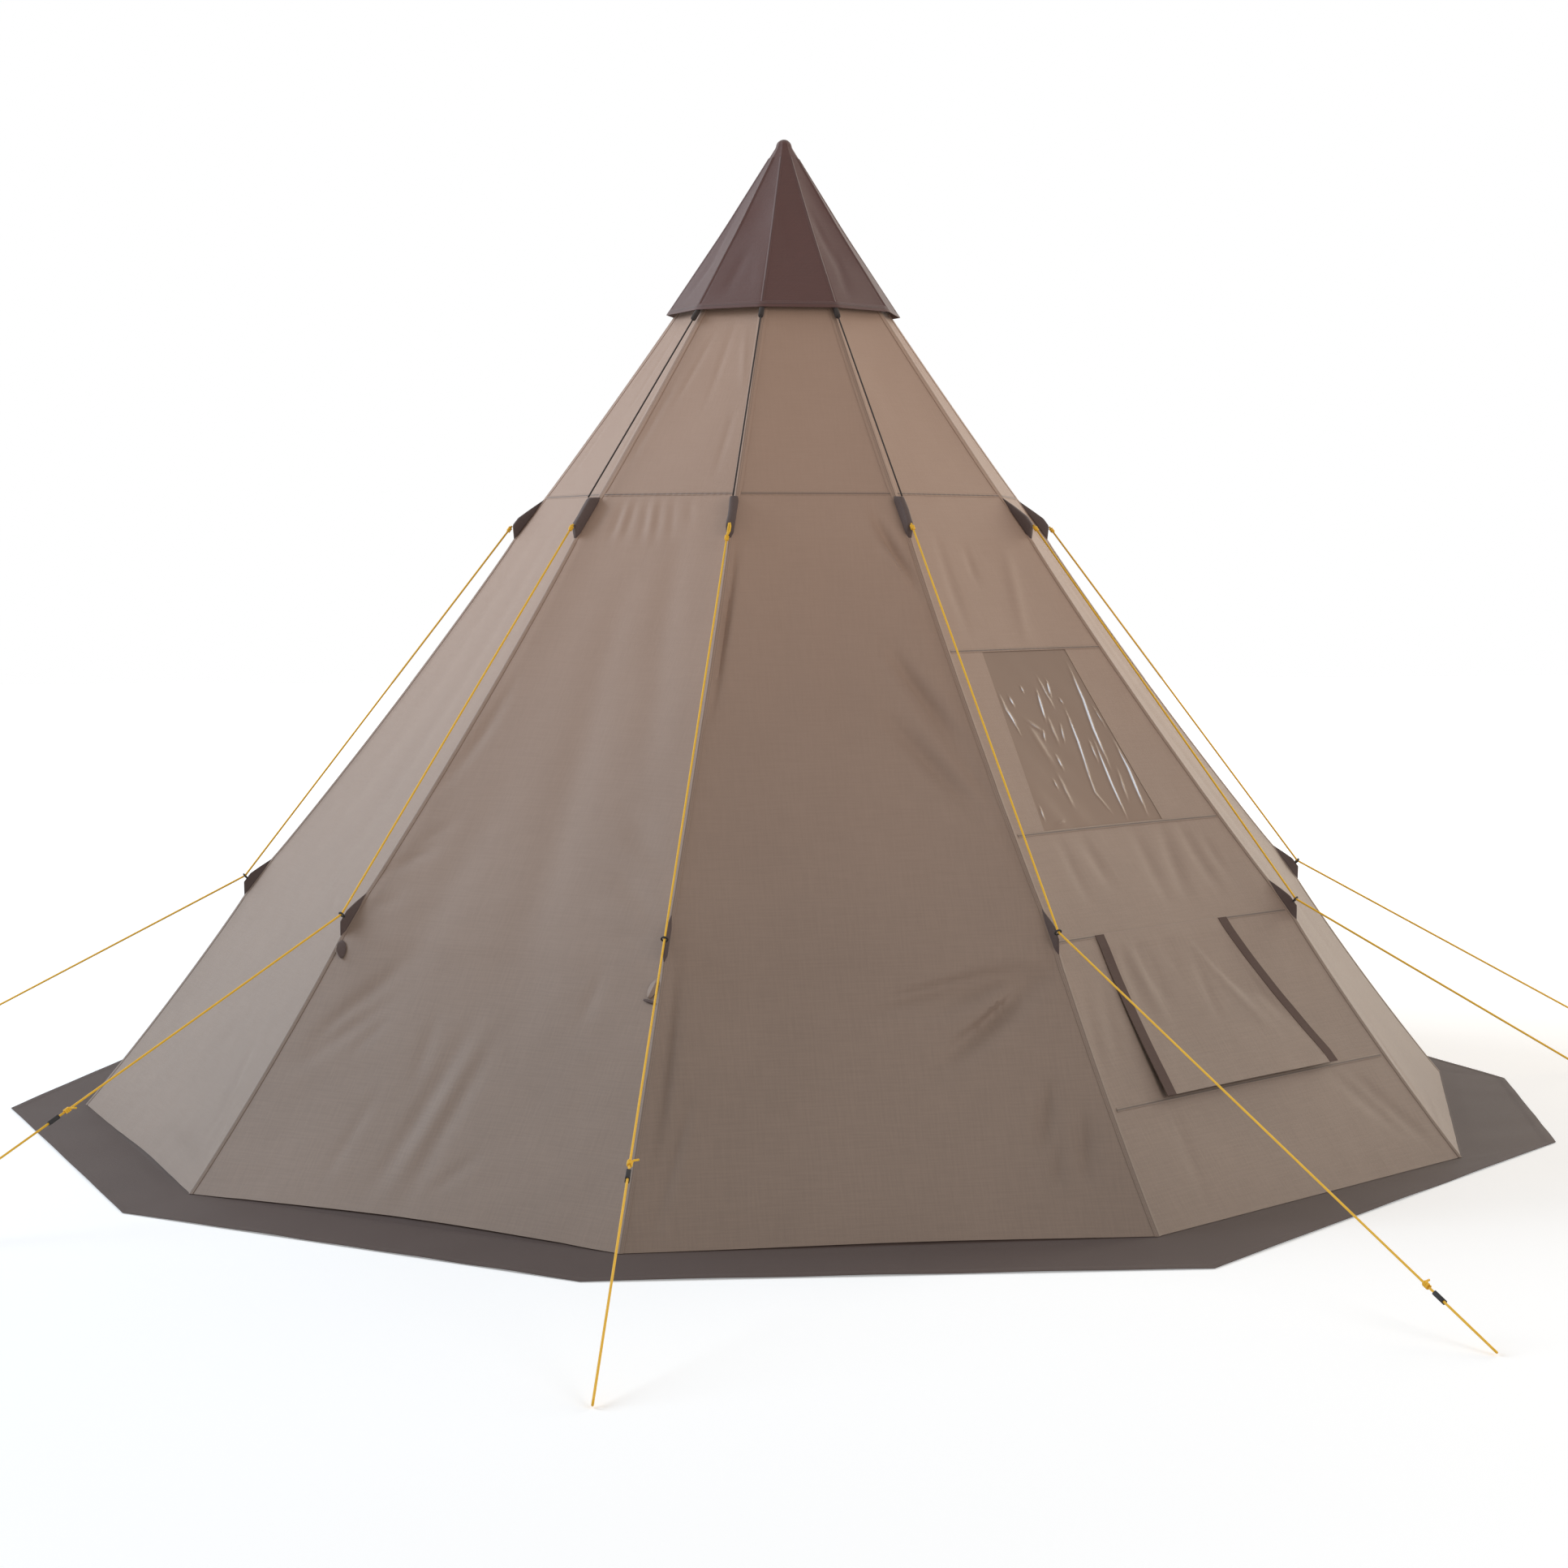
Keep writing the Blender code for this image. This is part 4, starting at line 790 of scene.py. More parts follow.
# each level is a height and the shares across between which the middle columns lie
PLAIN_LEVELS = tuple((height, -0.6, 0.6) for height in (HEM_HEIGHT, SEAM_HEIGHT, WALL_TOP_HEIGHT))
WINDOW_LEVELS = (
    (HEM_HEIGHT, VENT_LEFT[0], VENT_RIGHT[0]), (VENT_BOTTOM, VENT_LEFT[0], VENT_RIGHT[0]),
    (VENT_TOP, VENT_LEFT[1], VENT_RIGHT[1]), (WINDOW_BOTTOM, WINDOW_LEFT[0], WINDOW_RIGHT[0]),
    (WINDOW_TOP, WINDOW_LEFT[1], WINDOW_RIGHT[1]), (SEAM_HEIGHT, WINDOW_LEFT[1], WINDOW_RIGHT[1]),
    (WALL_TOP_HEIGHT, WINDOW_LEFT[1], WINDOW_RIGHT[1]),
)
DOOR_LEVELS = tuple((height, -DOOR_SHARE, DOOR_SHARE) for height in
                    (HEM_HEIGHT, DOOR_SILL, DOOR_TOP, SEAM_HEIGHT, WALL_TOP_HEIGHT))
# columns left of, between and right of those shares, the levels, and the openings' heights
CUT_GORES = {
    4: ((16, 50, 22), WINDOW_LEVELS, ((WINDOW_BOTTOM, WINDOW_TOP), (VENT_BOTTOM, VENT_TOP))),
    8: ((10, 48, 10), DOOR_LEVELS, ((DOOR_SILL, DOOR_TOP),)),
}


def seam_band(name, number, height):
    """Narrow sewn band across a gore at a height."""
    along = np.linspace(-0.965, 0.965, 90)
    offsets = np.array([-1.0, -0.6, 0.0, 0.6, 1.0])[:, None] * 0.006
    lifts = np.array([0.0006, 0.0016, 0.00112, 0.0016, 0.0006])[:, None]
    shares, offsets = np.broadcast_arrays(along[None, :], offsets)
    heights = height + offsets / MIDDLE_RUN
    puckers = 1.0 + 0.35 * np.sin(along * half_width(height) * 2 * math.pi / 0.022)
    points = cloth_points(number, shares, heights, lifts * puckers[None, :])
    piece, _ = cloth_sheet(name, points, np.stack([offsets, shares * half_width(heights)], axis=-1),
                           thickness=0.0010)
    return settle(piece, canvas_seam, "canvas")


for number in range(1, SIDES + 1):
    # gores 1 to 5 are seen in the photo and get a finer grid
    pitch, cells = (0.017, (20, 52, 20)) if number <= 5 else (0.026, (14, 36, 14))
    cells, levels, openings = CUT_GORES.get(number, (cells, PLAIN_LEVELS, ()))
    shares, heights = grid_between(levels, cells, pitch)
    gore, area = cloth_sheet(f"canopy_gore_{number:02d}", cloth_points(number, shares, heights),
                             on_flat(shares, heights), cut_cells(heights, cells, openings))
    settle(gore, canvas, "canvas", f"gore_{number:02d}")
    bands = [seam_band(f"upper_seam_{number:02d}", number, SEAM_HEIGHT)]
    if number == 4:
        bands += [seam_band(f"{name}_seam", number, height) for name, height in (
            ("window_top", WINDOW_TOP), ("window_bottom", WINDOW_BOTTOM),
            ("vent_top", VENT_SEAMS[1]), ("vent_bottom", VENT_SEAMS[0]))]
    width = 2 * float(half_width(HEM_HEIGHT))
    length = float(slope_length(WALL_TOP_HEIGHT))
    if number == 8:
        area = DOOR_GORE_AREA_SHARE * width * length


# Ridges: a felled canvas seam over each pair of gores, wider and doubled above the upper seam. A
# dark folded flap at the upper seam and one at waist height are sewn into it, and the lower one
# holds a black ring for the guy line.
FLAP_COLOUR = (0.090, 0.058, 0.050)
FLAP_ROOT = 0.0022
# painted light towards the top and painted shade in the seam's groove, as on the gores
ridge_canvas = cloth_finish("ridge seam canvas", shaded(CANVAS_COLOUR, 1.02), seam=0.35, painted_top_light=0.5)
flap_cloth = cloth_finish("dark flap cloth", FLAP_COLOUR, roughness=0.7, sheen=0.08)


def over_ridge(points_on, number, across, wide, along, lift):
    """Points over a ridge: across is the distance from it, towards the lower number if negative."""
    before = SIDES if number == 1 else number - 1
    first = points_on(before, 1.0 - np.abs(across) / wide, along, lift)
    second = points_on(number, np.abs(across) / wide - 1.0, along, lift)
    return np.where((across < 0)[..., None], first, second)


def plain_finish(name, roughness, dark, light, scale, bump, **constants):
    """Plain material whose colour is speckled from dark to light by a fine noise."""
    made, tree, inputs = new_finish(name, roughness, **constants)
    grain = noise(tree, add_node(tree, "TexCoord").outputs["Object"], scale, 2.0)["Fac"]
    feed(tree, inputs["Base Color"], blended(tree, "MIX", grain, dark, light))
    with_bump(tree, inputs, grain, bump)
    return made


def flap_piece(name, number, flap, root, bulge, edge):
    """Folded flap that stands on a ridge: half widths at its root, its middle and its outer edge."""
    stands = [(0.0, 0.0), (flap["tip"] * 0.5, flap["stand"] * 0.52), (flap["tip"], flap["stand"]),
              (flap["heel"], flap["stand"]), (1.0, 0.0)]
    stations = np.linspace(0.0, 1.0, 27)
    levels = np.array([0.0, 0.12, 0.35, 0.6, 0.82, 0.93, 1.0])
    halves = np.interp(levels, (0.0, 0.5, 0.93, 1.0), (root, bulge, edge, edge * 0.55))
    sides = np.concatenate([-halves, halves[::-1]])
    rises = np.concatenate([levels, levels[::-1]])
    rings = []
    for station in stations:
        stand = float(np.interp(station, *zip(*stands)))
        slim = 0.35 + 0.65 * min(1.0, stand / (flap["stand"] * 0.6))
        rings.append([])
        for side, rise in zip(sides, rises):
            spot = flap_spot(flap, station, (stand + FLAP_ROOT) * rise - FLAP_ROOT)
            wave = 0.0012 * math.sin(station * 9.0 + number) * rise
            rings[-1].append(ridge_turn(number) @ (spot + Vector((0.0, side * slim + wave, 0.0))))
    return loft(name, rings, lambda i, k: (0.006 - rises[k % len(rises)] * 0.02,
                                           stations[i] * flap["length"]))


def leaf(name, number, start, end, width, lift, finish):
    """Small folded leaf lying on a gore, from one place to another as (share across, height)."""
    along, over = np.linspace(0.0, 1.0, 22)[:, None], np.linspace(-1.0, 1.0, 9)[None, :]
    middle_height = between((start[1], end[1]), along)
    way = np.array([(end[0] - start[0]) * float(half_width(start[1])),
                    float(slope_length(end[1]) - slope_length(start[1]))])
    way = way / np.hypot(*way)
    reach = over * width / 2 * np.sin(math.pi * np.clip(along * 0.9 + 0.08, 0.0, 1.0)) ** 0.6
    share = between((start[0], end[0]), along) - reach * way[1] / half_width(middle_height)
    height = middle_height + reach * way[0] / MIDDLE_RUN
    rise = 0.0024 + lift * (1 - np.abs(over)) * np.sin(math.pi * along) ** 0.5
    piece, _ = cloth_sheet(name, cloth_points(number, share, height, rise), on_flat(share, height),
                           thickness=0.0012)
    return settle(piece, finish, "binding_tape")


# ends of binding tape that stick out on gore 2 below two lower flaps: a folded leaf beside ridge 2,
# and a loose triangle with a turned edge beside ridge 3
TAPE_ENDS = {
    2: (("tape_leaf_02", 2, (-0.985, 0.655), (-0.925, 0.612), 0.026, 0.012, flap_cloth),
        ("tape_turn_02", 2, (-0.990, 0.640), (-0.955, 0.622), 0.014, 0.006, ridge_canvas)),
    3: (("tape_edge_03", 2, (0.915, 0.573), (0.985, 0.566), 0.008, 0.004, flap_cloth),
        ("tape_turn_03", 2, (0.975, 0.622), (0.940, 0.578), 0.026, 0.008, ridge_canvas)),
}
ring_axis = ((ring_centre() - flap_spot(UPPER_FLAP, UPPER_FLAP["heel"], UPPER_FLAP["stand"])).normalized()
             + (Vector((GROUND_REACHES[0], 0.0, 0.0)) - ring_centre()).normalized()).normalized()
black_ring = plain_finish("black ring", 0.50, (0.022, 0.020, 0.020), (0.045, 0.042, 0.040),
                          scale=900.0, bump=0.0002, Specular_IOR_Level=0.3)
for number in range(1, SIDES + 1):
    heights = np.concatenate([np.linspace(HEM_HEIGHT, SEAM_HEIGHT - 0.03, 120),
                              np.linspace(SEAM_HEIGHT - 0.02, WALL_TOP_HEIGHT, 44)])
    halves = np.interp(heights, (SEAM_HEIGHT - 0.03, SEAM_HEIGHT + 0.02), (0.0095, 0.015))
    columns = np.array([-1.0, -0.75, -0.35, -0.001, 0.35, 0.75, 1.0])
    lifts = np.array([0.0013, 0.0022, 0.0026, 0.0030, 0.0026, 0.0022, 0.0013])
    across = columns[None, :] * halves[:, None]
    heights = np.broadcast_to(heights[:, None], across.shape)
    points = over_ridge(cloth_points, number, across, half_width(heights), heights,
                        np.broadcast_to(lifts, across.shape))
    seam, area = cloth_sheet(f"ridge_seam_{number:02d}", points,
                             np.stack([across, slope_length(heights)], axis=-1), thickness=0.0011)
    settle(seam, ridge_canvas, "canvas", f"ridge_{number:02d}")
    upper = flap_piece(f"upper_flap_{number:02d}", number,
                       CORDED_FLAP if number in CORD_RIDGES else UPPER_FLAP,
                       root=0.0098, bulge=0.0112, edge=0.0095)
    lower = flap_piece(f"lower_flap_{number:02d}", number, LOWER_FLAP,
                       root=0.0060, bulge=0.0042, edge=0.0030)
    for flap in (upper, lower):
        settle(flap, flap_cloth, "binding_tape")
    bpy.ops.object.select_all(action="DESELECT")
    bpy.ops.mesh.primitive_torus_add(major_radius=RING_RADIUS, minor_radius=RING_WIRE,
                                     major_segments=28, minor_segments=10)
    ring = bpy.context.object
    ring.name = f"guy_ring_{number:02d}"
    ring.data.transform(ridge_turn(number) @ Matrix.Translation(ring_centre())
                        @ ring_axis.to_track_quat("Z", "Y").to_matrix().to_4x4())
    bpy.ops.object.shade_smooth()
    settle(ring, black_ring, "black_plastic")
    ends = [leaf(*values) for values in TAPE_ENDS.get(number, ())]


# Window: clear film sewn behind the opening, soft and wrinkled, with milky lines along its creases that are
# painted highlights on their crests as well.
film, tree, inputs = new_finish("window film", 0.18, Specular_IOR_Level=0.10)
# whitish crease marks that are also painted highlights: the crests of the film's creases get a bluish white
# colour and more opacity
whitening_and_highlight = ramp(tree, add_node(tree, "Attribute", attribute_name="Crest").outputs["Fac"], 0.0016, 0.0032)
feed(tree, inputs["Base Color"], blended(tree, "MIX", whitening_and_highlight, (0.400, 0.282, 0.214), (0.88, 0.91, 1.0)))
feed(tree, inputs["Alpha"], calc(tree, "MULTIPLY_ADD", whitening_and_highlight, 0.22, 0.76))

# creases: width and depth in millimetres, then the line as hundredths across and up the window
WINDOW_CREASES = (
    (5, 3.4, (12, 74), (14, 68)), (4, 3.2, (29, 79), (30, 75)), (5, 3.8, (45, 77), (40, 58)),
    (5, 3.4, (61, 82), (57, 72)), (4, 3, (34, 54), (31, 48)), (5, 3.2, (36, 40), (37, 32)),
    (5, 4, (66, 65), (63, 47), (58, 27)), (6, 4.2, (94, 91), (90, 70), (84, 53), (80, 30)),
    (5, 4, (79, 48), (74, 22), (72, 2)), (6, 4.2, (98, 48), (96, 30), (90, 4)),
    (4, 3.4, (3, 14), (3, 6)), (4, 3, (54, 57), (49, 46)), (4, 2.6, (5, 66), (10, 52)),
    (12, 1.4, (20, 60), (30, 34)), (5, 2.4, (10, 3), (20, 5)), (7, 2.3, (2, 76), (4, 66), (10, 58)),
    (6, 2.4, (20, 60), (34, 53)), (5, 2.8, (74, 47), (72, 34)), (5, 2.5, (59, 37), (56, 18), (62, 7)),
    (4, 2.8, (96, 66), (97, 53)), (4, 3.2, (65, 71), (67, 68)), (4, 2.8, (24, 27), (25, 22)),
    (7, 2.2, (44, 62), (43, 45)), (6, 2.3, (86, 30), (80, 12)), (7, 2.2, (30, 30), (32, 12)),
    (6, 2.4, (52, 84), (55, 66)),
)


def window_place(across, up):
    """Place on the cut cloth, in metres, of shares across and up the window."""
    share = between((between(WINDOW_LEFT, up), between(WINDOW_RIGHT, up)), across)
    return gore_place(share, between((WINDOW_BOTTOM, WINDOW_TOP), up))


def shares_of(columns):
    """Even steps from 0 to 1 as one row."""
    return np.linspace(0.0, 1.0, columns)[None, :]


def opening_grid(low, high, left, right, lap, margin, columns, rows):
    """Shares across and heights of a grid behind an opening, with its shares up from the sill."""
    rises = np.linspace(low - margin, high + margin, rows)[:, None]
    up = np.clip((rises - low) / (high - low), 0.0, 1.0)
    edges = between(left, up) - lap, between(right, up) + lap
    return *np.broadcast_arrays(between(edges, shares_of(columns)), rises), up


shares, heights, up = opening_grid(WINDOW_BOTTOM, WINDOW_TOP, WINDOW_LEFT, WINDOW_RIGHT,
                                   lap=0.035, margin=0.015, columns=190, rows=150)
columns = shares_of(190)
places = on_flat(shares, heights)
inner = np.clip(np.minimum((np.minimum(columns, 1 - columns) - 0.03) * 30,
                           np.minimum(up, 1 - up) * 20), 0.0, 1.0)
wrinkles = fold_depth(places[..., 0], places[..., 1], metres(WINDOW_CREASES, window_place))
# crests of the creases, where the film's finish paints its highlights
crest = np.maximum(wrinkles, 0.0) * inner
wrinkles = wrinkles + 0.0004 * drift(71, places[..., 0], places[..., 1] * 0.4, 0.09)
pane, area = cloth_sheet("window_film", cloth_points(4, shares, heights, -0.0016 + wrinkles * inner),
                         places, thickness=0.0008, crest=crest)
settle(pane, film, "clear_film", "window_pane")


# Vent: fly net behind its opening and a canvas rain flap over it, hung from its top edge. A dark
# webbing band down each side keeps the flap's shape, and its lower edge is hemmed.
fly_net, tree, inputs = new_finish("fly net", 0.85)
uv = add_node(tree, "UVMap").outputs["UV"]
thread = calc(tree, "MAXIMUM", *(ribs(tree, split(tree, uv)[axis], 0.0016) for axis in ("X", "Y")))
feed(tree, inputs["Base Color"], blended(tree, "MIX", thread, (0.030, 0.027, 0.025), (0.060, 0.054, 0.050)))
feed(tree, inputs["Alpha"], ramp(tree, thread, 0.55, 0.92, 0.55, 1.0))

shares, heights, _ = opening_grid(VENT_BOTTOM, VENT_TOP, VENT_LEFT, VENT_RIGHT,
                                  lap=0.02, margin=0.012, columns=40, rows=30)
net, area = cloth_sheet("vent_fly_net", cloth_points(4, shares, heights, -0.0026), on_flat(shares, heights),
                        thickness=0.0008)
settle(net, fly_net, "fly_net", "vent_net")

FLAP_LAP, FLAP_STAND = 0.030, 0.016
WEBBING_WIDTH = 0.037
webbing = cloth_finish("dark webbing", (0.062, 0.030, 0.021), thread=0.0022, roughness=0.75, sheen=0.0)
# as the gores' folds
VENT_FLAP_FOLDS = (
    (24, 3, (-51, 68), (-51, 49)), (26, 4, (-36, 69), (-32, 50)), (22, 3, (-13, 69), (-14, 58)),
    (34, 7, (12, 69), (32, 46)), (30, 6, (23, 64), (48, 41)), (22, -3, (6, 66), (30, 40)),
    (22, 3, (4, 61), (-3, 44)), (24, -3, (-44, 66), (-40, 44)),
)


def flap_grid(part, top=VENT_TOP + FLAP_LAP, steps=60, lift=0.0):
    """Grid on the vent flap from its lower edge up to a height; part gives the places across."""
    rises = np.linspace(VENT_BOTTOM - FLAP_LAP, top, steps)[:, None]
    at = np.clip((rises - VENT_BOTTOM) / (VENT_TOP - VENT_BOTTOM), 0.0, 1.0)
    left = between(VENT_LEFT, at) * half_width(rises) - FLAP_LAP
    right = between(VENT_RIGHT, at) * half_width(rises) + FLAP_LAP
    across, heights = np.broadcast_arrays(part(left, right), rises)
    down = (VENT_TOP + FLAP_LAP - rises) / (VENT_TOP - VENT_BOTTOM + 2 * FLAP_LAP)
    flat = np.stack([across, slope_length(heights)], axis=-1)
    free = (np.clip((np.minimum(across - left, right - across) - 0.020) / 0.05, 0.0, 1.0)
            * np.clip(down * 8, 0.0, 1.0))
    billow = fold_depth(flat[..., 0], flat[..., 1], metres(VENT_FLAP_FOLDS, gore_place)) * free
    billow = billow + 0.0025 * drift(33, flat[..., 0], flat[..., 1], 0.30) * free
    stand = 0.0020 + FLAP_STAND * down ** 2 + lift
    plain = cloth_points(4, across / half_width(heights), heights, stand)
    billow = np.clip(billow, -0.006, stand - 0.001) * 1.2
    return plain - facing(4, billow, 0.0 * billow, 0.0 * billow), flat


points, flat = flap_grid(lambda left, right: between((left, right), shares_of(70)))
vent_flap, area = cloth_sheet("vent_rain_flap", points, flat, thickness=0.0012)
settle(vent_flap, canvas, "canvas", "vent_flap", body="vent_flap")
bands = []
for word, part in (("left", lambda left, right: left + WEBBING_WIDTH * shares_of(5)),
                   ("right", lambda left, right: right - WEBBING_WIDTH * (1.0 - shares_of(5)))):
    band, _ = cloth_sheet(f"vent_webbing_{word}", *flap_grid(part, lift=0.0014), thickness=0.0012)
    bands.append(settle(band, webbing, "binding_tape", body="vent_flap"))
points, flat = flap_grid(
    lambda left, right: between((left + WEBBING_WIDTH, right - WEBBING_WIDTH), shares_of(50)),
    VENT_BOTTOM - 0.008, 5, 0.0009)
hem, _ = cloth_sheet("vent_flap_hem", points, flat, thickness=0.0010)
bands.append(settle(hem, canvas, "canvas", body="vent_flap"))


# Door in gore 8: a canvas flap that fills the doorway, with a coil zip down each side.
DOOR_EDGE_GAP = 0.006
# a zip's flat length would be the door's height times its ease; nothing here works it
# out; a zip's flat length is guessed as the door's height times its ease
ZIP_INSET, ZIP_WIDTH, ZIP_EASE = 0.004, 0.012, 1.03
heights = np.linspace(DOOR_SILL + GAP, DOOR_TOP - GAP, 76)[:, None]
edge = DOOR_SHARE * half_width(heights) - DOOR_EDGE_GAP
across, heights = np.broadcast_arrays(edge * np.linspace(-1.0, 1.0, 56)[None, :], heights)
shares = across / half_width(heights)
door, area = cloth_sheet("door_canvas", cloth_points(8, shares, heights), on_flat(shares, heights),
                         thickness=0.0014)
settle(door, canvas, "canvas", "door_flap", body="door")

zip_tape, tree, inputs = new_finish("zip tape", 0.65)
across, along, _ = split(tree, add_node(tree, "UVMap").outputs["UV"])
coil = calc(tree, "MULTIPLY", ramp(tree, calc(tree, "ABSOLUTE", across), 0.0030, 0.0024),
            ribs(tree, along, 0.0025))
feed(tree, inputs["Base Color"], blended(tree, "MIX", coil, (0.030, 0.026, 0.025), (0.085, 0.075, 0.070)))
with_bump(tree, inputs, coil, 0.0010)
for side, word in ((-1, "left"), (1, "right")):
    heights = np.linspace(DOOR_SILL, DOOR_TOP, 90)[:, None]
    offsets = np.array([-1.0, -0.5, -0.25, 0.0, 0.25, 0.5, 1.0])[None, :] * ZIP_WIDTH / 2
    lifts = np.array([0.0009, 0.0012, 0.0028, 0.0032, 0.0028, 0.0012, 0.0009])[None, :]
    offsets, lifts, heights = np.broadcast_arrays(offsets, lifts, heights)
    across = side * (DOOR_SHARE * half_width(heights) + ZIP_INSET + ZIP_WIDTH / 2) + offsets
    points = cloth_points(8, across / half_width(heights), heights, lifts)
    band, area = cloth_sheet(f"door_zip_{word}", points, np.stack([offsets, slope_length(heights)], axis=-1),
                             thickness=0.0008)
    settle(band, zip_tape, "zip_tape", f"zip_{word}")


# Rain cap: ten dark panels sewn along the ridges, hemmed below, drawn tight over the pole's head.
CAP_COLOUR = (0.086, 0.028, 0.0205)
# metres that the cap's face moves out for each metre square to it
CAP_RUN = 1.19
CAP_HEM_WIDTH, CAP_HALF_PANEL = 0.021, 0.115
cap_cloth = cloth_finish("dark cap canvas", CAP_COLOUR, roughness=0.60, sheen=0.26)
# the seam finish paints shade into the seam's groove
cap_seam = cloth_finish("dark cap seam", shaded(CAP_COLOUR, 1.05), seam=0.5, roughness=0.60, sheen=0.26)


def lengths_along(profile):
    """Distance walked along a profile of (radius, height) at each of its points."""
    return np.concatenate([[0.0], np.cumsum([math.dist(a, b) for a, b in zip(profile, profile[1:])])])


cap_profile = cap_outline(0.0)
CAP_LENGTHS = lengths_along(cap_profile)


def cap_at(length):
    """Radius and height of the cap's ridge at a length up from its hem, with the kink smoothed."""
    spread = 0.05 * (length < 0.5)
    edge = np.clip(length / 0.06, 0.0, 1.0)
    found = []
    for plain in zip(*cap_profile):
        smooth = sum(np.interp(np.clip(length + shift * spread, 0.0, CAP_LENGTHS[-1]), CAP_LENGTHS, plain)
                     for shift in (-1.0, -0.5, 0.0, 0.5, 1.0)) / 5
        found.append(smooth * edge + np.interp(length, CAP_LENGTHS, plain) * (1 - edge))
    return found


# width and depth in millimetres, then the line in centimetres across and up a panel
CAP_FOLDS = (
    (16, 4, (3, 50), (6, 24)), (16, 3.5, (-4, 42), (-2, 16)), (18, 3.5, (0, 24), (-4, 3)),
    (14, -3, (5, 22), (9, 2)),
)


def cap_points(facet, share, length, lift=0.0):
    """Points on one of the cap's panels in world axes."""
    radius, height = cap_at(length)
    across = share * radius * math.sin(HALF_GORE)
    folds = metres(CAP_FOLDS[facet % 3:facet % 3 + 2], lambda across, up: (across, up))
    free = 1 - share ** 2
    sag = (0.004 * np.sin(math.pi * np.clip(length / 0.6, 0, 1)) + fold_depth(across, length, folds)
           + 0.0015 * drift(facet + 90, across, length, 0.18)) * free
    out = radius * math.cos(HALF_GORE) - (sag - lift) * CAP_RUN
    return facing(facet, out, share * out * math.tan(HALF_GORE), height)


def round_sheet(name, columns, facet_grid, thickness):
    """Sheet all round the pole, from facet_grid(facet, shares across), which gives points and places."""
    blocks, flats = [], []
    for facet in range(1, SIDES + 1):
        points, places = facet_grid(facet, np.linspace(-1.0, 1.0, columns)[:None if facet == SIDES else -1])
        blocks.append(points)
        flats.append(places)
    return cloth_sheet(name, np.concatenate(blocks, axis=1), np.concatenate(flats, axis=1),
                       thickness=thickness, joined=True)


def cap_panel(facet, shares):
    """Grid on one of the cap's panels, with its places on the cut cloth."""
    lengths = np.concatenate([np.linspace(0.0, 0.60, 56), np.linspace(0.61, CAP_LENGTHS[-1] - 0.0005, 12)])
    shares, lengths = np.meshgrid(shares, lengths)
    around = (facet * 2 + shares) * cap_at(lengths)[0] * math.sin(HALF_GORE)
    return cap_points(facet, shares, lengths), np.stack([around, lengths], axis=-1)


def cap_hem(facet, shares):
    """Grid on the hem of one of the cap's panels, with its places as a sewn band."""
    shares, lengths = np.meshgrid(shares, np.array([0.0, 0.003, 0.010, 0.018, CAP_HEM_WIDTH]))
    lifts = np.array([0.0012, 0.0020, 0.0018, 0.0018, 0.0002])[:, None]
    places = np.stack([lengths - CAP_HEM_WIDTH / 2, (facet * 2 + shares) * CAP_HALF_PANEL], axis=-1)
    return cap_points(facet, shares, lengths, lifts), places


cap, area = round_sheet("rain_cap_canvas", 15, cap_panel, 0.0014)
settle(cap, cap_cloth, "dark_canvas", "rain_cap")
for facet in range(1, SIDES + 1):
    # a felled seam up each of the cap's ridges
    across, along = np.meshgrid(np.array([-1.0, -0.5, -0.001, 0.5, 1.0]) * 0.006,
                                np.linspace(0.004, 0.60, 50))
    lifts = np.broadcast_to(np.array([0.0003, 0.0013, 0.0017, 0.0013, 0.0003]), across.shape)
    wide = np.maximum(cap_at(along)[0] * math.sin(HALF_GORE), 0.007)
    points = over_ridge(cap_points, facet, across, wide, along, lifts)
    seam, _ = cloth_sheet(f"cap_seam_{facet:02d}", points, np.stack([across, along], axis=-1),
                          thickness=0.0009)
    settle(seam, cap_seam, "dark_canvas")
hem, _ = round_sheet("cap_hem", 13, cap_hem, 0.0012)
settle(hem, cap_seam, "dark_canvas")
around, tall = 2 * SIDES * CAP_HEM_RADIUS * math.sin(HALF_GORE), float(CAP_LENGTHS[-1])


# Crown: fly net that closes the top of the wall under the cap and lets damp air out.
NET_INSET, NET_LAP = 0.0045, 0.020
NET_HEM_RADIUS = 0.237
net_path = [(float(ridge_radius(height)) - NET_INSET, height)
            for height in (WALL_TOP_HEIGHT - NET_LAP, WALL_TOP_HEIGHT)]
net_path += rounded_tip(TIP_RADIUS - CAP_THICKNESS - GAP, math.pi / 2 - 0.02)
net_lengths = lengths_along(net_path)
net_radii, net_rises = zip(*net_path)


def crown_panel(facet, shares):
    """Grid on one side of the crown, with its places on the cut net."""
    steps = np.concatenate([np.linspace(0.0, net_lengths[2], 24), net_lengths[3:]])
    shares, steps = np.meshgrid(shares, steps)
    radius = np.interp(steps, net_lengths, net_radii)
    half = radius * math.sin(HALF_GORE)
    rises = np.interp(steps, net_lengths, net_rises)
    points = facing(facet, radius * math.cos(HALF_GORE), shares * half, rises)
    return points, np.stack([(facet * 2 + shares) * half, steps], axis=-1)


crown, area = round_sheet("crown_fly_net", 9, crown_panel, 0.0009)
settle(crown, fly_net, "fly_net", "crown_net")
around, tall = 2 * SIDES * NET_HEM_RADIUS * math.sin(HALF_GORE), float(net_lengths[-1])


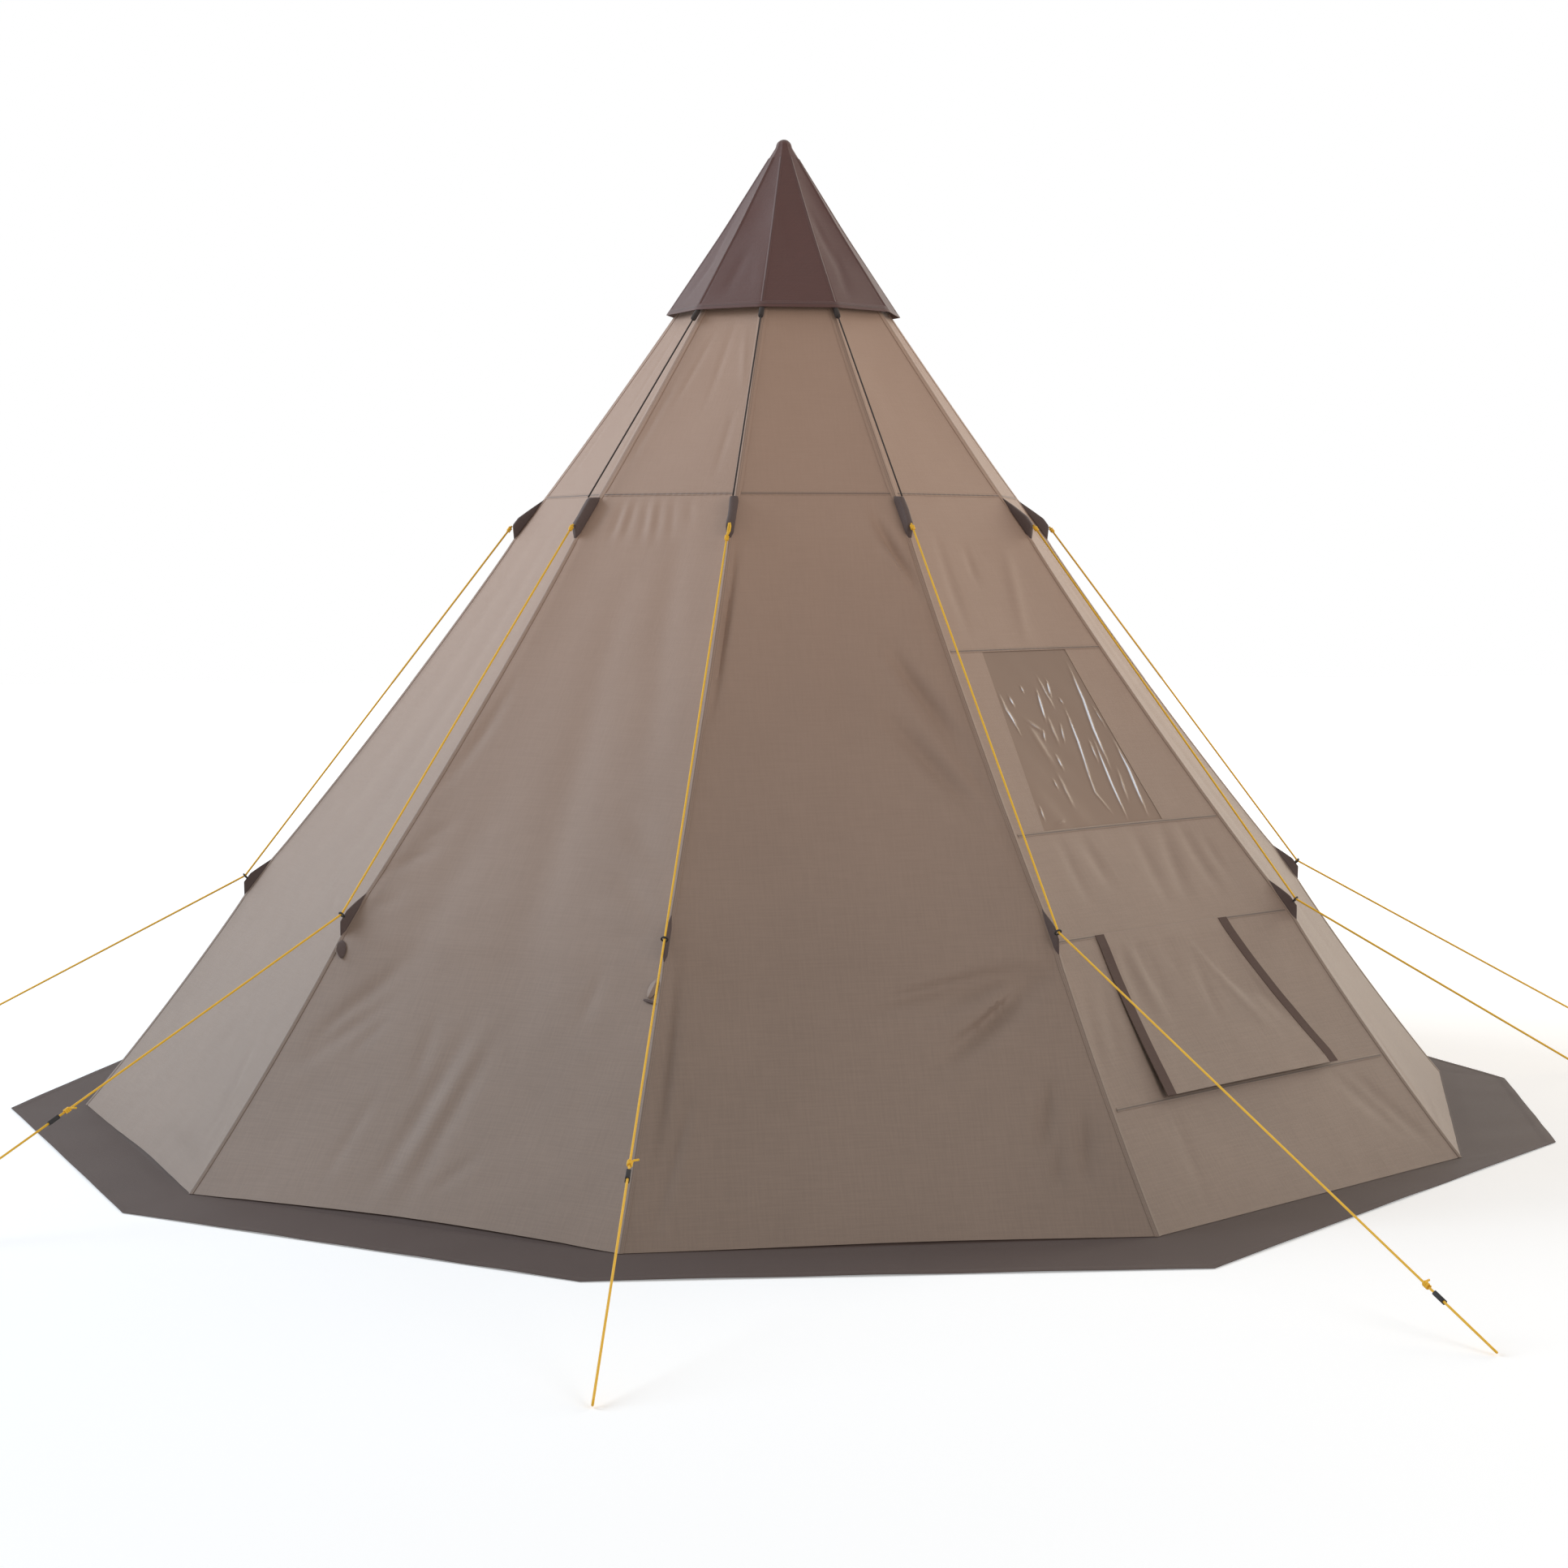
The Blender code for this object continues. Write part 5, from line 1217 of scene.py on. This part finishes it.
# Ground skirt: a dark band of the cap's cloth, laid flat on the ground all round, with its inner
# edge sewn to the inside of the wall just above the hem, so it shows where the hem stands off the
# ground. Its outer corners lie a little out of true, as in the photograph.
SKIRT_WIDTH, SKIRT_TUCK = 0.230, 0.004
SKIRT_EDGE = BASE_RADIUS + SKIRT_WIDTH
SKIRT_RISES = np.array([0.005, 0.012, 0.020, 0.028])
TURNED_UP, SKIRT_MIDDLE = 0.035, 0.07
SEAM_INSET = 0.0045
# outer corners out of true: radius, then turn in degrees
SKIRT_CORNERS = {
    1: (2.473, 0.5), 2: (2.490, 1.5), 3: (2.518, -0.7), 4: (2.571, -1.1), 5: (2.459, 8.2), 6: (2.420, -3.4),
}


def skirt_shift(ridge):
    """How far a corner of the skirt lies from its place on a regular ring, in world axes."""
    regular = math.pi + (ridge - 1) * 2 * HALF_GORE
    radius, turn = SKIRT_CORNERS.get((ridge - 1) % SIDES + 1, (SKIRT_EDGE, 0.0))
    found = regular + math.radians(turn)
    return np.array([radius * math.cos(found) - SKIRT_EDGE * math.cos(regular),
                     radius * math.sin(found) - SKIRT_EDGE * math.sin(regular), 0.0])


def skirt_panel(facet, shares):
    """Grid on one side of the skirt, from its outer edge in to where it is sewn up the wall."""
    reaches = np.concatenate([np.linspace(SKIRT_EDGE, SKIRT_EDGE - 0.02, 3),
                              np.linspace(SKIRT_EDGE - 0.025, BASE_RADIUS - SKIRT_TUCK, 22)])
    laid_shares, reaches = np.meshgrid(shares, reaches)
    out = reaches * math.cos(HALF_GORE)
    aside = laid_shares * reaches * math.sin(HALF_GORE)
    free = np.clip((reaches - BASE_RADIUS - 0.01) / 0.04, 0.0, 1.0)
    waves = 0.0016 * (1.0 + drift(facet + 20, aside, out, 0.35)) * free * (1 - laid_shares ** 6)
    hem_rise = 0.0010 * (reaches > SKIRT_EDGE - 0.021)
    laid = facing(facet, out, aside, 0.0018 + waves + hem_rise)
    pulled = np.clip((reaches - BASE_RADIUS - 0.01) / (SKIRT_WIDTH - 0.01), 0.0, 1.0)[..., None]
    later = ((laid_shares + 1.0) / 2)[..., None]
    laid += pulled * (skirt_shift(facet) * (1.0 - later) + skirt_shift(facet + 1) * later)
    sewn_shares, rises = np.meshgrid(shares, SKIRT_RISES)
    sewn = cloth_points(facet, sewn_shares, rises, -SEAM_INSET)
    from_wall = np.concatenate([reaches - BASE_RADIUS, -SKIRT_TUCK - rises * math.hypot(1.0, LOWER_SLOPE)])
    around = (facet * 2 + np.concatenate([laid_shares, sewn_shares])) * BASE_RADIUS * math.sin(HALF_GORE)
    return np.concatenate([laid, sewn]), np.stack([from_wall, around], axis=-1)


skirt_cloth = cloth_finish("dark skirt canvas", (0.049, 0.027, 0.021), roughness=0.72, sheen=0.05)
skirt, area = round_sheet("skirt_canvas", 49, skirt_panel, 0.0014)
settle(skirt, skirt_cloth, "dark_canvas", "ground_skirt")
around = 2 * SIDES * (BASE_RADIUS + SKIRT_MIDDLE) * math.sin(HALF_GORE)


# Centre pole and zip sliders keep their CAD shapes and get drawn steel and moulded plastic. Each
# runner is a slim rounded bar with one slot for both strands of its guy line.
RUNNER_LENGTH, RUNNER_WIDTH, RUNNER_THICKNESS = 0.034, 0.0185, 0.012
SLOT_ROOM = 0.0003
steel, tree, inputs = new_finish("drawn steel tube", 0.34, Metallic=1.0)
here = add_node(tree, "TexCoord").outputs["Object"]
drawn = add_node(tree, "Mapping", {"Vector": here, "Scale": (400.0, 400.0, 3.0)}).outputs[0]
brushed = noise(tree, drawn, 1.0, 3.0)["Fac"]
feed(tree, inputs["Base Color"], blended(tree, "MIX", brushed, (0.50, 0.51, 0.52), (0.64, 0.65, 0.66)))
feed(tree, inputs["Roughness"], ramp(tree, brushed, 0.2, 0.8, 0.26, 0.42))
moulded = plain_finish("moulded black plastic", 0.55, (0.024, 0.022, 0.022), (0.040, 0.037, 0.036),
                       scale=1400.0, bump=0.0002, Specular_IOR_Level=0.25)
for name in ("pole_bottom", "pole_middle", "pole_top", "zip_slider_left", "zip_slider_right"):
    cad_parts[name].material_slots[0].material = steel
for name in ("pole_foot", "pole_head"):
    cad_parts[name].material_slots[0].material = moulded


def block(length, width, thickness):
    """Box round the origin."""
    bpy.ops.object.select_all(action="DESELECT")
    bpy.ops.mesh.primitive_cube_add(size=1.0)
    bpy.context.object.data.transform(Matrix.Diagonal((length, width, thickness, 1.0)))
    return bpy.context.object


slot_thickness = CORD_DIAMETER + 2 * SLOT_ROOM
slot = block(RUNNER_LENGTH * 1.2, STRAND_SPACING + slot_thickness, slot_thickness)
bar = block(RUNNER_LENGTH, RUNNER_WIDTH, RUNNER_THICKNESS)
rounding = bar.modifiers.new("rounding", "BEVEL")
rounding.width, rounding.segments = 0.0022, 3
cut = bar.modifiers.new("slot", "BOOLEAN")
cut.operation, cut.object, cut.solver = "DIFFERENCE", slot, "EXACT"
bpy.ops.object.modifier_apply(modifier="rounding")
bpy.ops.object.modifier_apply(modifier="slot")
bpy.ops.object.shade_smooth_by_angle(angle=math.radians(35))
bpy.data.objects.remove(slot)
for index in range(SIDES):
    number = index + 1
    turn = ridge_turn(number).to_3x3()
    _, _, down, level, aside, _ = line_axes(index)
    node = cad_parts[f"runner_{number:02d}"]
    middle = node.matrix_world @ (sum((Vector(corner) for corner in node.bound_box), Vector()) / 8)
    middle += turn @ (aside * STRAND_SPACING - level * CAD_SPACING) / 2
    axes = Matrix((turn @ down, turn @ aside, turn @ down.cross(aside))).transposed()
    runner = add_piece(f"runner_bar_{number:02d}", bar.data.copy())
    runner.data.transform(Matrix.Translation(middle) @ axes.to_4x4())
    settle(runner, moulded, "black_plastic", f"runner_{number:02d}", body=f"runner_{number:02d}")
bpy.data.objects.remove(bar)


# Studio: pale floor that keeps the tent's shadow, a white surround, and soft light that reaches the
# side gores more than the front ones, as in the photograph.
bpy.ops.object.select_all(action="DESELECT")
bpy.ops.mesh.primitive_plane_add(size=60.0, location=(0.0, 0.0, -0.001))
floor = bpy.context.object
floor.name = "floor"
floor_paint, tree, inputs = new_finish("pale floor", 0.9)
inputs["Base Color"].default_value = (0.86, 0.86, 0.86, 1.0)
seen = add_node(tree, "LightPath").outputs["Is Camera Ray"]
feed(tree, inputs["Emission Color"], blended(tree, "MIX", seen, (0.0, 0.0, 0.0), (1.0, 1.0, 1.0)))
reach = add_node(tree, "VectorMath", {0: add_node(tree, "TexCoord").outputs["Object"]},
                 operation="LENGTH").outputs["Value"]
glow = calc(tree, "MULTIPLY", ramp(tree, reach, 4.0, 12.0, 0.30, 0.95), ramp(tree, reach, 1.9, 2.3, 0.2))
feed(tree, inputs["Emission Strength"], glow)
floor.data.materials.append(floor_paint)

world = bpy.data.worlds.new("studio")
bpy.context.scene.world = world
world.use_nodes = True
tree = world.node_tree
path = add_node(tree, "LightPath").outputs
shown = calc(tree, "MAXIMUM", path["Is Camera Ray"],
             calc(tree, "MAXIMUM", path["Is Glossy Ray"], path["Is Transmission Ray"]))
background = tree.nodes["Background"].inputs
background["Color"].default_value = (1.0, 1.0, 1.0, 1.0)
feed(tree, background["Strength"], ramp(tree, shown, 0.0, 1.0, 0.40, 1.0))

for name, place, power, colour in (
    ("left softbox", (-8.7, 2.3, 6.0), 760.0, (0.70, 0.80, 0.90)),
    ("right softbox", (7.9, 4.4, 4.2), 310.0, (1.0, 0.87, 0.68)),
    ("front fill", (6.0, -9.6, 5.0), 290.0, (1.0, 0.97, 0.94)),
):
    light = bpy.data.lights.new(name, "AREA")
    light.shape, light.size, light.energy, light.color = "SQUARE", 5.0, power, colour
    lamp = add_piece(name, light)
    lamp.location = place
    lamp.rotation_euler = (Vector((0.0, 0.0, 1.0)) - Vector(place)).to_track_quat("-Z", "Y").to_euler()


bpy.context.view_layer.update()
